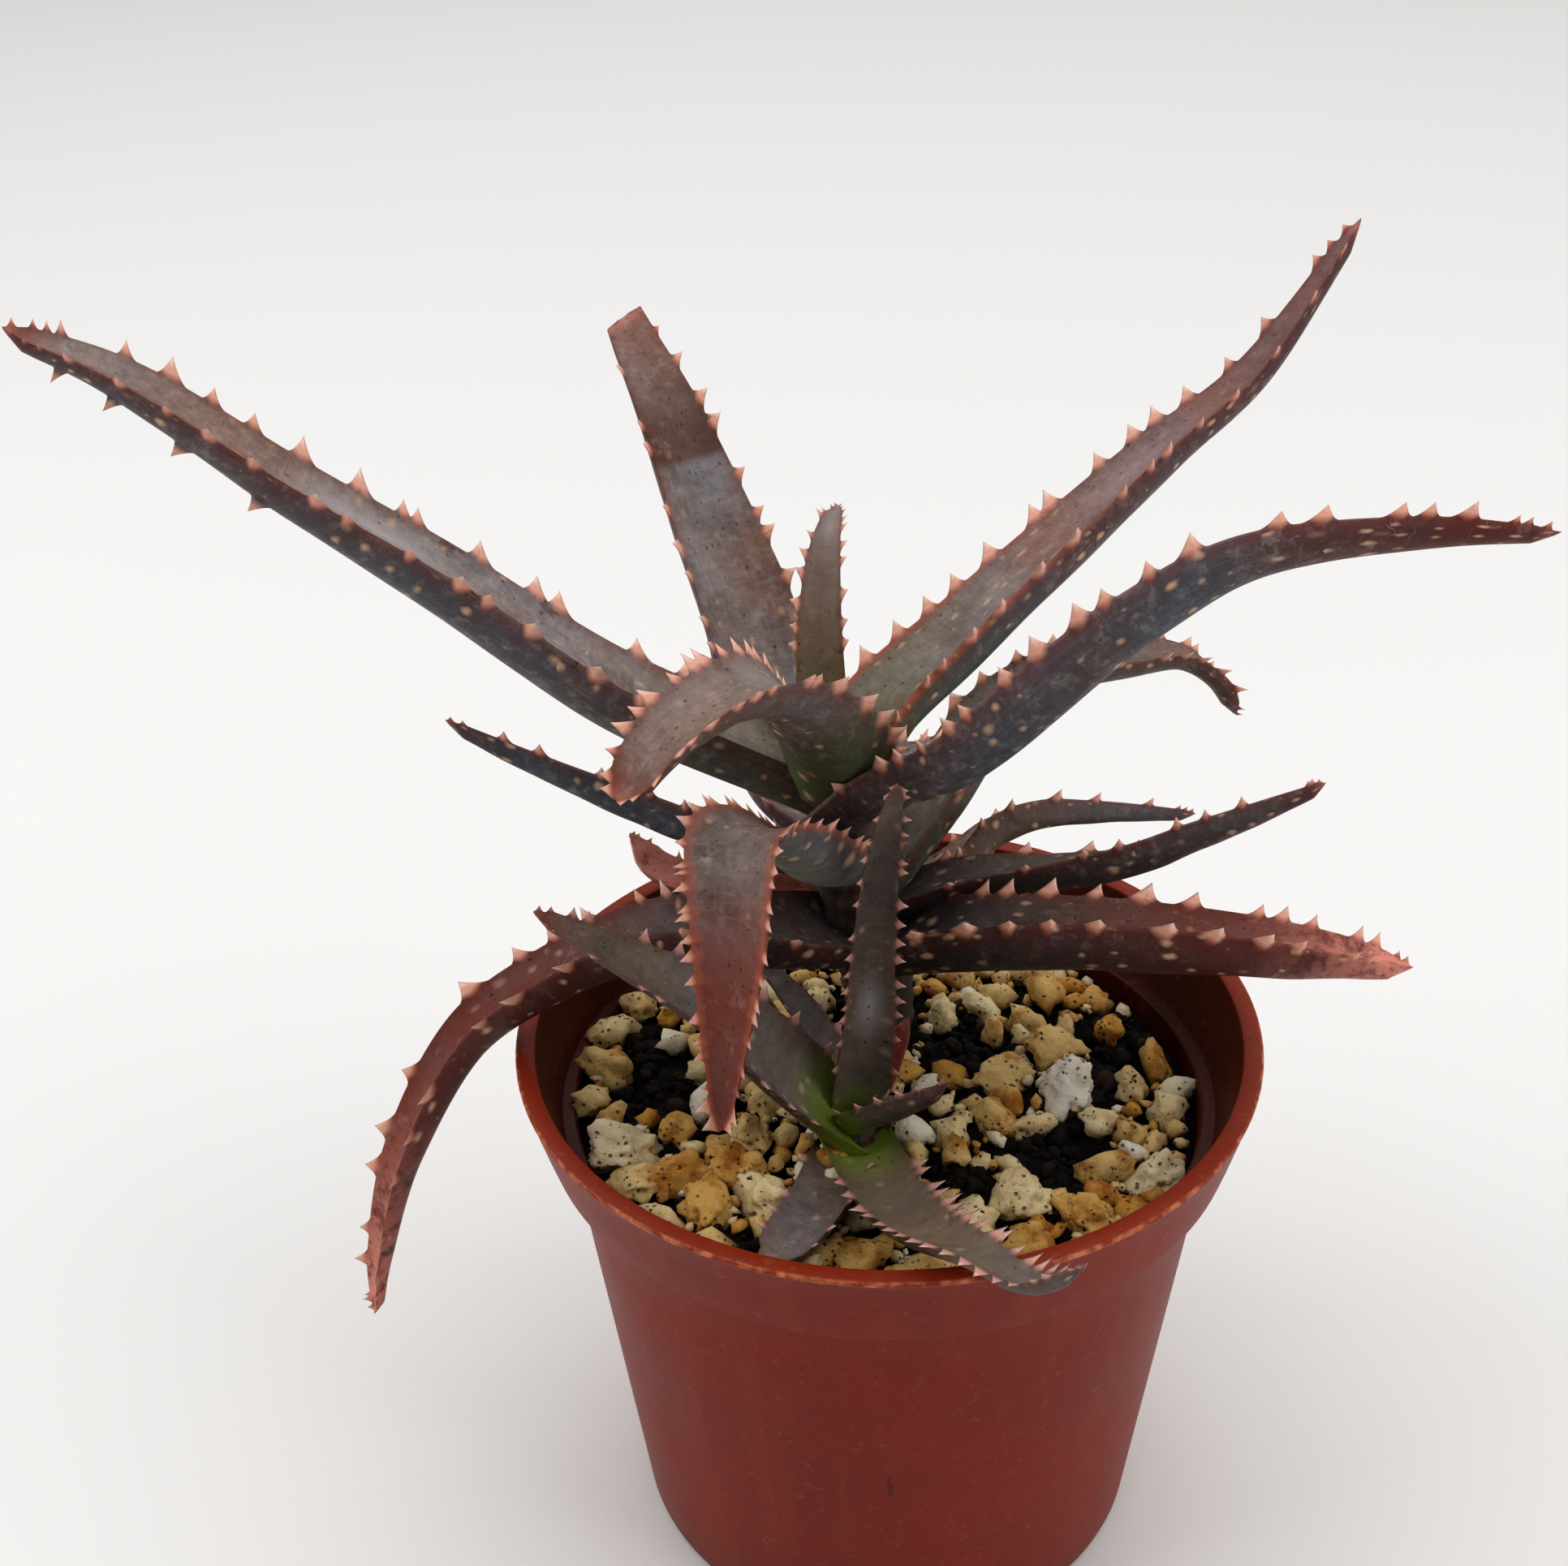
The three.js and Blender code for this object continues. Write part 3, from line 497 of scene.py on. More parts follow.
def toothRidge(leaf, u, length, hand):
    # height of the teeth along one margin in mm, and how near each place is to a tooth
    height = np.zeros_like(u)
    near = np.zeros_like(u)
    if not leaf["teeth"]:
        return height, near
    plan = toothPlan
    blunt = leaf["slant"] > 0
    pitch = (plan["last"] - leaf["teethFrom"]) / leaf["teeth"]
    dice = random.Random(round(1000 * length) + hand)
    centres = []
    for i in range(leaf["teeth"]):
        shift = dice.uniform(-plan["jitter"], plan["jitter"])
        centre = leaf["teethFrom"] + pitch * (i + plan["first"][hand] + shift)
        if blunt and hand < 0 and centre > 0.93:
            continue
        tall = leaf["tooth"] * dice.uniform(*plan["sizes"]) * (0.8 + 0.35 * math.sin(math.pi * centre))
        tall *= plan["nearTipSize"] if centre > plan["nearTip"] else 1
        centres.append((centre, tall))
    # a few short spines crowd the very tip
    for centre in () if blunt else plan["tipSpines"]:
        shift = dice.uniform(-plan["tipJitter"], plan["tipJitter"])
        centres.append((centre + shift, leaf["tooth"] * leaf["tipTeeth"]))
    for centre, tall in centres:
        away = (u - u[np.argmin(abs(u - centre))]) * length  # the point falls on a station
        root = np.where(away < 0, plan["rootBelow"] * tall, plan["rootAbove"] * tall)
        height = np.maximum(height, tall * np.clip(1 - abs(away) / root, 0, 1) ** plan["sharpness"])
        near = np.maximum(near, np.exp(-((away + 0.15 * tall) / (leaf["blushLong"] * tall)) ** 2))
    return height, near


def growLeaf(nodeName, leaf, material):
    leaf = {**commonLeaf, **leaf}
    stations = np.array(leaf["stations"], float)
    length = lengthOf(stations[:, :3])
    across = np.array(sectionPlan["across"], float)
    angles = np.radians(sectionPlan["angles"])
    ringSize = len(across) + len(angles)
    count = int(length / sectionPlan["stationEvery"])
    piece, u, station, ring = startTube(nodeName + "_look", count, ringSize)
    mesh = piece.data

    def curveOf(key):
        return curvePoints(leaf[key], u)[0][:, 0]

    def aboveAndBelow(above, below):
        # one value for each place round the section: first the channelled face, then the underside
        return np.concatenate([above + np.zeros(len(across)), below + np.zeros(len(angles))])

    at, along, side, up = leafFrames(leaf, stations[:, :3], u)
    width, thick, channel = curvePoints(stations[:, 3:], u)[0].T
    fullHalf = np.maximum(width / 2, 0.3)
    # the blade draws out to a point, except where it dried back to a blunt end
    fromTip = (1 - u) * length / fullHalf[-1]
    tipRound = np.clip(fromTip / leaf["tipLong"], 0.004, 1) ** 0.72
    if leaf["slant"]:
        tipRound = np.clip(fromTip / 0.08, 0.02, 1) ** 0.3
    half = fullHalf * tipRound
    rise = np.maximum(channel, 0.05) * tipRound
    depth = np.maximum(thick, 0.5) * tipRound
    # the section as places across and heights, for every station at once
    share = aboveAndBelow(across, np.cos(angles))
    s = np.outer(half, share)
    bowl = np.outer(rise, abs(across) ** sectionPlan["bowlPower"])
    bowl -= sectionPlan["sag"] * np.outer(half, 1 - across**2)
    keel = rise[:, None] - np.outer(rise + depth, np.sin(angles) ** sectionPlan["keelPower"])
    h = np.concatenate([bowl, keel], axis=1)
    hand = np.sign(share + 1e-12)
    fromMargin = aboveAndBelow(1 - abs(across), np.minimum(angles, math.pi - angles) / 2.2)
    # a tooth draws out the skin beside it, less and less away from the margin
    pull = np.interp(fromMargin * aboveAndBelow(1, 1.9),
                     [0, 0.03, 0.075, 0.15, 0.24], [1, 0.52, 0.2, 0.05, 0])
    blushReach = aboveAndBelow(leaf["blushReach"], 0.13)
    tooth = np.zeros_like(s)
    blush = np.zeros_like(s)
    for which in (-1, 1):
        ridge, near = toothRidge(leaf, u, length, which)
        mine = hand == which
        tooth[:, mine] = np.outer(ridge, pull[mine])
        near = np.maximum(near, curveOf("rosy"))
        blush[:, mine] = np.outer(near, np.clip(1 - fromMargin[mine] / blushReach[mine], 0, 1))
    slanted = leaf["slant"] * s / fullHalf[:, None] * smoothStep(0.93, 1.0, u)[:, None]
    splay, lift = leaf["splay"]
    s += hand * tooth * splay
    h += tooth * lift
    # a few spines stand on the near shoulder of some undersides
    shoulder = len(across) + sectionPlan["shoulder"]
    for centre in leaf["keelTeeth"]:
        away = (u - u[np.argmin(abs(u - centre))]) * length
        spine = sectionPlan["spine"] * np.clip(1 - abs(away) / np.where(away < 0, 1.3, 0.9), 0, 1) ** 1.4
        s[:, shoulder] -= 0.53 * spine
        h[:, shoulder] -= 0.85 * spine
        tooth[:, shoulder] = np.maximum(tooth[:, shoulder], 0.9 * spine)
    # a slow swelling along the blade keeps it from looking machined
    swell = np.array([noise.noise(Vector((9 * v, length, 3.1))) for v in u])
    h += sectionPlan["swell"] * np.outer(swell, np.clip(fromMargin * 4, 0, 1))
    # a leaf that has bent wrinkles across its underside
    wrinkleFrom, wrinkleTo = leaf["wrinkle"]
    creased = smoothBand(wrinkleFrom - 0.05, wrinkleFrom + 0.05, wrinkleTo - 0.05, wrinkleTo + 0.05, u)
    ripple = np.sin(u * length * 4.6 + 1.5 * np.sin(u * length * 1.7))
    below = aboveAndBelow(0, np.sin(angles))
    h -= sectionPlan["ripple"] * np.outer(creased * ripple, below)
    ahead = tooth * 0.28 + slanted
    xyz = (at[:, None] + side[:, None] * s[..., None] + up[:, None] * h[..., None]
           + along[:, None] * ahead[..., None])
    mesh.vertices.foreach_set("co", (xyz[station, ring] * mm).ravel())
    # mm along and round the skin, offset so that no two leaves share a pattern
    steps = np.linalg.norm(np.diff(xyz, axis=1, append=xyz[:, :1]), axis=2)
    girth = np.cumsum(np.median(steps, axis=0)) - steps[0, 0]
    bandAt, bandMost = leaf["band"]
    banded = smoothBand(bandAt - 0.055, bandAt - 0.04, bandAt - 0.01, bandAt + 0.12, u)
    paintedSheenAt, paintedSheenMost = leaf["paintedSheen"]
    redFrom, redTo, redMost = leaf["red"]
    greenTo, greenMost = leaf["green"]
    crustFrom, crustMost = leaf["crust"]
    # a red streak beside the margin, on the channelled face; the underside keeps its slate colour
    streakAt, streakFrom, streakMost = leaf["streak"]
    streak = np.exp(-((share - streakAt) / 0.3) ** 2) * aboveAndBelow(1, 0.2)
    streaked = np.outer(smoothStep(streakFrom - 0.1, streakFrom + 0.1, u) * streakMost, streak)

    def alongOnly(amounts):
        return np.outer(amounts, np.ones(ringSize))

    def roundOnly(amounts):
        return np.outer(np.ones_like(u), amounts)

    values = {
        "run": alongOnly(u * length + 17.0 * length),
        "girth": roundOnly(girth),
        "upper": roundOnly(aboveAndBelow(1, 0)),
        "edge": roundOnly(np.clip(1 - fromMargin / 0.2, 0, 1)),
        "tooth": tooth / (1.35 * max(leaf["tooth"], 0.1)),
        "blush": blush,
        "band": alongOnly(banded * bandMost),
        # painted sheen: a band across the middle of the channelled face, centred at one place along the leaf
        "paintedSheen": np.outer(np.exp(-((u - paintedSheenAt) / 0.09) ** 2) * paintedSheenMost,
                         aboveAndBelow(np.clip(1 - abs(across) * 1.3, 0, 1), 0)),
        "scar": np.outer(1 - smoothStep(0.3, 0.75, u), np.clip(1 - fromMargin / 0.45, 0, 1)),
        "spotty": alongOnly(1 - smoothStep(0.35, 0.8, u)),
        "crust": alongOnly(smoothStep(crustFrom, 1.0, u) * crustMost),
        "pale": np.outer(creased, below) * 0.9,
        "red": np.maximum(alongOnly(smoothStep(redFrom, redTo, u) * redMost), streaked),
        # painted shade along the leaf, where other leaves shade it
        "paintedShade": alongOnly(np.clip(curveOf("paintedShade"), 0, 1)),
        "tan": alongOnly(np.clip(curveOf("tan"), 0, 1)),
        "green": alongOnly((1 - smoothStep(0, greenTo, u)) * greenMost),
    }
    for name, value in values.items():
        store = mesh.attributes.new(name, "FLOAT", "POINT")
        store.data.foreach_set("value", value[station, ring].astype(np.float32))
    closeTube(piece)
    finishPiece(piece, material, nodeName)


rosette = {
    "leaf_heart": {
        "stations": [(-6.6, 6.2, 99.4, 5.4, 2.4, 1.2), (-7.1, 7.6, 106, 5.4, 2.4, 1.2),
                     (-7.3, 10, 112.5, 4.8, 2.2, 1), (-7, 13.5, 118, 3.8, 1.8, 0.8),
                     (-6.4, 17, 121, 2.6, 1.3, 0.5), (-5.5, 21, 122, 1.2, 0.8, 0.2)],
        "teeth": 8, "tooth": 1, "teethFrom": 0.3, "red": (0.75, 1.0, 0.1), "green": (0.6, 0.35),
        "paintedSheen": (0.8, 0.6), "rosy": [0.4, 0.4], "tan": [0.8, 0.8, 0.75, 0.6, 0.4, 0.2],
    },
    "leaf_front_arching": {
        "stations": [(-5.5, 1, 99, 12, 4.4, 2.4), (-6.5, -5, 109, 13, 4.8, 2),
                     (-10.5, -12, 117, 10.4, 3.8, 1.6), (-15.5, -18, 119, 8, 2.8, 1.2),
                     (-21, -23, 117, 6.6, 2.2, 0.8), (-25.5, -26, 112, 4.4, 1.4, 0.3)],
        "teeth": 15, "tooth": 1.6, "red": (0.86, 1.0, 0.9), "green": (0.42, 0.75), "crust": (0.95, 0.3),
        "tipLong": 1.5, "tipTeeth": 0.9, "tan": [0, 0, 0.25, 0.35, 0.2, 0],
    },
    "leaf_upper_left": {
        "stations": [(-7, 5, 96.5, 11.5, 4.4, 2.2), (-27.5, 0, 110.5, 10.8, 5, 1.6),
                     (-43.5, -3, 124.5, 9.2, 4.4, 1.2), (-57, -6, 135.5, 7.2, 3.4, 1),
                     (-71, -8, 147, 5.2, 2.4, 0.6), (-81.5, -10, 153, 2, 1.2, 0.2)],
        "roll": [0, 0, 0, -4, -10, -12], "teeth": 15, "tooth": 1.7, "keelTeeth": [0.63, 0.72, 0.81, 0.9],
        "red": (0.9, 1.0, 0.9), "green": (0.3, 0.2), "paintedSheen": (0.5, 0.8), "streak": (-0.86, 0.5, 0.75),
    },
    "leaf_upper_right": {
        "stations": [(-5, 7, 96, 11, 4.2, 2), (-0.5, 12, 102, 11, 4.2, 1.8), (9, 18, 109, 10.4, 4, 1.6),
                     (20, 25, 117, 9.6, 3.6, 1.2), (30.5, 32, 124, 7.8, 3, 1),
                     (41.7, 38, 131.7, 5.2, 2.2, 0.6), (53.3, 45, 146.6, 1.5, 1.2, 0.2)],
        "roll": [0, -6, -12, -14, -14, -12, -10], "teeth": 15, "tooth": 1.7, "red": (0.2, 0.9, 0.58),
        "green": (0.5, 0.42), "paintedSheen": (0.62, 0.5), "rosy": [0.9, 0.9, 0.8, 0.6, 0.2, 0, 0],
    },
    "leaf_back": {
        "stations": [(-4, 10, 86, 10, 3.8, 2), (-11, 18, 88, 11.5, 3.8, 2), (-14, 25, 93, 12, 3.8, 1.8),
                     (-16.5, 32, 102, 12, 3.4, 1.4), (-21.4, 39, 112.5, 10.6, 3, 1.2),
                     (-27, 47, 124, 8, 2.4, 0.8), (-32.8, 57, 132, 5.4, 1.4, 0.3)],
        "teeth": 15, "tooth": 1.5, "red": (0.8, 1.0, 0.4), "band": (0.8, 0.9), "slant": 1.3,
    },
    "leaf_right_arching": {
        "stations": [(-6, 4, 94, 10.5, 4, 2), (-0.5, -4, 102, 10, 4, 1.6), (7, -8, 107.5, 9.6, 3.8, 1.4),
                     (14.5, -12, 116.5, 9, 3.6, 1.2), (23.5, -14, 125.6, 7.6, 3, 1),
                     (34, -14, 131.9, 6, 2.4, 0.7), (49.5, -12, 133.2, 4.4, 1.8, 0.4),
                     (63, -10, 132, 1.6, 1, 0.1)],
        "roll": [0, -14, -24, -32, -40, -46, -46, -46], "teeth": 18, "tooth": 1.6, "red": (0.62, 0.9, 1.0),
    },
    "leaf_left_thin": {
        "stations": [(-4, 9, 83, 7, 2.8, 1), (-12.5, 8, 86, 6.4, 3.2, 0.8), (-21.5, 9, 88.6, 5.6, 3.1, 0.6),
                     (-30, 10, 91.5, 4.6, 2.6, 0.5), (-40, 10, 96.2, 3.2, 1.9, 0.3),
                     (-49.5, 10, 101, 1.4, 1, 0.1)],
        "roll": [0, 20, 36, 42, 42, 42], "teeth": 8, "tooth": 1.1, "red": (0.8, 1.0, 0.5),
    },
    "leaf_front_hanging": {
        "stations": [(-3, 7, 86, 10.5, 3.4, 2), (-7, -6, 93.5, 10.5, 3.2, 1.8),
                     (-11, -14, 101.5, 10, 2.8, 1.4), (-14.5, -20, 105, 9.6, 2.4, 1),
                     (-15, -25, 103, 9, 2.2, 0.8), (-15.2, -27, 96, 7.8, 2.2, 0.8),
                     (-16, -27.5, 85, 5, 1.8, 0.6), (-17, -27, 73, 1.4, 1, 0.1)],
        "teeth": 24, "tooth": 1.15, "tipTeeth": 1.6, "red": (0.5, 0.85, 1.0), "wrinkle": (0.1, 0.42),
        "blushReach": 0.5, "blushLong": 1.0, "rosy": [0.7, 0.7, 0.7, 0.7],
    },
    "leaf_behind_right": {
        "stations": [(-2.5, 10, 79, 9, 3.4, 1.6), (5.5, 14, 89, 9, 3.4, 1.4),
                     (11.5, 19, 96.4, 8.6, 3.2, 1.2), (19.5, 23, 100.4, 7.4, 2.8, 1),
                     (28, 26, 100.7, 5.4, 2.4, 0.7), (34.5, 28, 100.2, 4.8, 2, 0.5),
                     (39.5, 29, 96.3, 4.2, 1.6, 0.4), (42, 30, 90.8, 2.2, 1, 0.1)],
        "teeth": 13, "tooth": 1.4, "red": (0.6, 1.0, 0.7), "green": (0.8, 0.2),
        "tan": [0.15, 0.15, 0.2, 0.2, 0.2, 0.2, 0.2, 0.2],
    },
    "leaf_lower_left": {
        "stations": [(-3, 8, 74, 10, 4, 2), (-12, 0, 79.5, 9.8, 4.2, 2), (-20, -3, 82, 9, 4.2, 2),
                     (-27.5, -4, 81.5, 8, 4, 1.9), (-36.5, -4, 77, 7, 3.6, 1.7),
                     (-48.4, -4, 67.2, 6, 3.2, 1.5), (-57.6, -4, 50, 5, 2.8, 1.1),
                     (-62.4, -4, 33.5, 3.4, 2, 0.6), (-63.5, -5, 25, 1.6, 1, 0.1)],
        "roll": [0, 0, 4, 6, 4, -6, -18, -22, -22], "teeth": 15, "tooth": 1.6, "red": (0.1, 0.62, 0.95),
        "crust": (0.64, 1.0), "paintedShade": [0.7, 0.6, 0.5, 0.4, 0.28, 0.12, 0, 0, 0],
    },
    "leaf_lower_right": {
        "stations": [(-2.5, 8.5, 72.5, 10, 4.4, 2), (7.5, -1, 80.5, 9.8, 4.8, 2),
                     (21, -5, 83.5, 8.8, 4.6, 2.1), (36, -7, 83.5, 7.6, 4, 1.9),
                     (47.5, -8, 82.5, 5.8, 2.8, 1.3), (56.2, -8, 80.8, 2.2, 1.4, 0.2)],
        "roll": [0, -8, -12, -13, -12, -8], "teeth": 12, "tooth": 1.7, "red": (0.15, 0.6, 0.92),
        "crust": (0.6, 1.0), "paintedShade": [0.9, 0.8, 0.45, 0.2, 0.05, 0],
    },
    "leaf_right_thin": {
        "stations": [(-2, 9, 77.5, 7, 2.6, 1), (9, 7.8, 82.1, 6.4, 3.2, 0.8),
                     (19, 6.5, 84.4, 5.6, 3.1, 0.7), (27.5, 5, 87.2, 4.8, 2.8, 0.6),
                     (34, 4, 90.6, 4, 2.3, 0.5), (40.5, 3, 94.2, 2.8, 1.8, 0.3),
                     (47, 2, 97.8, 1.2, 0.9, 0.1)],
        "roll": [0, -4, -20, -36, -42, -42, -42], "teeth": 8, "tooth": 1.2, "red": (0.75, 1.0, 0.6),
        "paintedShade": [0.7, 0.6, 0.5, 0.3, 0.1, 0, 0], "tan": [0.2, 0.2, 0.2, 0.2, 0.2, 0.2, 0],
    },
    "leaf_right_low": {
        "stations": [(-2, 11, 74, 6.4, 2.4, 1), (7, 16, 78.5, 5.8, 3.1, 0.8), (12, 19, 82, 5, 3, 0.7),
                     (17.5, 21, 83.1, 4.2, 2.7, 0.5), (24, 23, 82.2, 3.2, 2.2, 0.3),
                     (31, 25, 80.6, 2.4, 1.5, 0.2), (37.5, 26, 79.4, 1.2, 0.9, 0.1)],
        "roll": [0, -20, -36, -42, -42, -42, -42], "teeth": 7, "tooth": 1.1, "red": (0.8, 1.0, 0.4),
        "tan": [0.7, 0.7, 0.6, 0.5, 0.3, 0.2, 0.2],
    },
}
for leafName, leafPlan in rosette.items():
    growLeaf(leafName, leafPlan, aloeSkin)
print("rosette grown:", len(rosette), "leaves")

offsetRosette = {
    "offset_leaf_young": {
        "stations": [(-4, -9.5, 60, 5, 1.6, 1.4), (-1.5, -13.5, 64.5, 4.6, 1.6, 1.2),
                     (2.5, -17, 69, 3.8, 1.4, 0.9), (6.5, -20, 74, 1.6, 0.9, 0.2)],
        "roll": [-10, -10, -10, -10], "teeth": 5, "tooth": 1, "red": (0.7, 1.0, 0.4), "green": (0.5, 0.9),
    },
    "offset_leaf_tall": {
        "stations": [(-3.5, -7.5, 58.5, 7, 2, 1.2), (-2, -10, 74.5, 5.6, 1.9, 0.8),
                     (-1.5, -12, 85.5, 4.6, 1.8, 0.6), (-0.5, -14, 98, 3.4, 1.5, 0.4),
                     (1, -15, 107.5, 1.4, 0.9, 0.1)],
        "side": [1, 0.15, 0], "teeth": 14, "tooth": 1.1, "tipTeeth": 1.0, "red": (0.9, 1.0, 0.4),
        "green": (0.12, 0.6), "paintedSheen": (0.3, 1.0), "paintedShade": [0, 0, 0.4, 0.6, 0.2],
    },
    "offset_leaf_left": {
        "stations": [(-4, -9, 58.5, 9, 2.4, 1.8), (-11, -12, 69.5, 9, 2.4, 1.4),
                     (-19, -15, 80.5, 6.8, 2.1, 1), (-27, -17, 87.5, 4.4, 1.7, 0.6),
                     (-36, -18, 94, 1.4, 0.9, 0.1)],
        "roll": [-10, -34, -36, -34, -30], "teeth": 9, "tooth": 1.3, "red": (0.85, 1.0, 0.8),
        "green": (0.26, 0.9),
    },
    "offset_leaf_right": {
        "stations": [(-3.5, -10, 57.5, 8, 2.4, 1.6), (0.5, -24, 61.4, 7.4, 2.2, 1.4),
                     (4, -34, 66.2, 6, 1.8, 1.2), (8.5, -41.5, 70.4, 4.2, 1.5, 0.9),
                     (13.5, -47, 71.8, 2.6, 1.2, 0.6), (18.5, -49, 75.8, 1, 0.8, 0.1)],
        "teeth": 17, "tooth": 1.6, "splay": (1.0, 0.3), "tipLong": 8, "red": (0.95, 1.0, 0.2),
        "green": (0.15, 0.7), "paintedSheen": (0.86, 0.45), "tan": [0.2, 0.5, 0.5, 0.4, 0.3, 0.1],
    },
    "offset_leaf_short": {
        "stations": [(-4.5, -10, 56.5, 7, 2.2, 1.2), (-7, -22, 59.6, 6.6, 2, 1),
                     (-10, -30, 61, 6, 1.8, 0.8), (-12.5, -35, 61.6, 3.4, 1.2, 0.3)],
        "teeth": 5, "tooth": 1.1, "red": (0.9, 1.0, 0.3),
    },
    "offset_leaf_back": {
        "stations": [(-4, -6, 58.5, 4.4, 1.6, 0.8), (-8, 1, 64.5, 4, 1.5, 0.6),
                     (-11.5, 5, 67.5, 3, 1.3, 0.4), (-15, 8.5, 69.5, 1.4, 0.9, 0.1)],
        "teeth": 4, "tooth": 0.9, "red": (0.9, 1.0, 0.3),
    },
}
for leafName, leafPlan in offsetRosette.items():
    growLeaf(leafName, leafPlan, offsetSkin)
print("offset grown:", len(offsetRosette), "leaves")

dryPieces = {
    "leaf_dry": {
        "stations": [(-2, 14, 71, 5, 1.1, 1.8), (-12, 19, 71, 5, 1.1, 1.8), (-22.5, 24, 69.5, 4.6, 1, 1.6),
                     (-29, 27, 70.4, 4, 1, 1.4), (-32.4, 29, 74.4, 3, 0.9, 1)],
        "roll": [-20, -20, -20, -20, -20], "teeth": 4, "tooth": 0.8, "red": (0.0, 0.1, 0.3),
        "crust": (0.4, 1.0), "paintedShade": [0.8, 0.6, 0.3, 0, 0],
    },
    "dry_scale": {
        "stations": [(-2.5, -6.5, 58, 3.4, 1, 0.8), (-0.5, -3.5, 61.5, 3.4, 1, 0.8),
                     (1, -1.5, 64.5, 2.8, 1, 0.5), (2.6, 0.5, 67.5, 1.2, 0.8, 0.1)],
        "side": [1, -0.4, 0], "teeth": 0, "tooth": 0, "red": (0.0, 0.1, 0.8), "crust": (0.6, 0.4),
    },
}
for leafName, leafPlan in dryPieces.items():
    growLeaf(leafName, leafPlan, drySkin)
print("dry pieces grown")


# Pot: injection-moulded polypropylene, so one satin skin with a soft sheen, a fine haze of scratches, a
# painted highlight on the rim's top and along its outer edge, painted shade inside, and a little dried peat

potPlan = {
    "sides": 144, "footInset": 1.2,
    "baseRadius": 30.7, "bodyTopRadius": 37.5, "stepHeight": 56.8,
    "collarFoot": 39.9, "rimRadius": 42.5, "height": 67.0, "rimWall": 2.2,
    "collarWall": 1.9, "shelfHeight": 58.1, "bodyWall": 1.3, "floorThickness": 2.0,
    "drainHoles": 6, "drainRadius": 3.2, "drainCircle": 20.0,
    "wavers": [(0.12, 2, 0.6), (0.05, 7, 0.0)],  # how far the rim is out of true, how often and where
    "clay": "#822307", "clayDark": "#741c04", "clayLight": "#8f391b", "burr": "#d5855c", "dust": "#96604a",
    "damp": "#35130b", "crumb": "#2a1c14", "scratch": "#35100a",
}


def potMaterial(plan):
    material, tree = newMaterial("mouldedPolypropylene")
    place = placeOf(tree)
    parts = addNode(tree, "ShaderNodeSeparateXYZ", None, {"Vector": place}).outputs
    clouds = noiseOf(place, 38.0, 6.0, 0.62)
    waver = noiseOf(place, 700.0)
    # flow marks of the moulding run up the wall
    flow = noiseOf(stretchOf(place, (1.0, 1.0, 0.08)), 260.0, 4.0)
    # painted highlight on the rim's top
    rimTopHighlight = fade(times(parts["Z"], 10.0), 0.658, 0.668)
    # dried crumbs and splashes
    crumbs = addNode(tree, "ShaderNodeTexVoronoi", None, {"Vector": place, "Scale": 170.0})
    crumbMask = times(fade(crumbs.outputs["Distance"], 0.06, 0.11, 0.0, 1.0), fade(clouds, 0.58, 0.66))
    # a short dark scratch low on the front, a little crooked
    sideways = addUp(parts["X"], calculate("MULTIPLY_ADD", waver, 0.0009, False, -0.00095))
    upward = addUp(parts["Z"], -0.0292)
    scratch = calculate("LESS_THAN", parts["Y"], 0.0)
    for away, half in ((sideways, 0.00022), (upward, 0.0019)):
        away = calculate("ABSOLUTE", away, 0.0, False)
        scratch = times(scratch, calculate("LESS_THAN", away, half))
    colour = coatAll(plan, "clayDark", [
        (fade(clouds, 0.35, 0.65), "clay"),
        (fade(flow, 0.5, 0.8, 0.35), "clayLight"),
        # painted highlight: the rim's top is lighter, with a thin bright line along its outer edge
        (times(rimTopHighlight, 0.35), "clayLight"),
        (times(attributeOf(tree, "burr"), fade(waver, 0.4, 0.68, 0.85, 0.05)), "burr"),
        # painted shade: the inside wall is darkened in clouds where the pot and the leaves shade it, partly
        # also for the peat that stains it
        (times(attributeOf(tree, "inside"), fade(clouds, 0.3, 0.7, 0.6, 0.95)), "damp"),
        (times(crumbMask, 0.8), "crumb"),
        (fade(noiseOf(place, 900.0, 3.0), 0.6, 0.75, 0.3), "dust"),
        (times(scratch, 0.6), "scratch"),
    ])
    height = addUp(times(noiseOf(place, 1300.0), 0.35), times(flow, 0.5))
    closeMaterial(tree, colour, fade(clouds, 0.3, 0.7, 0.52, 0.4),
                  {"IOR": 1.49, "Specular IOR Level": 0.25}, (0.25, 0.0003, height))
    return material


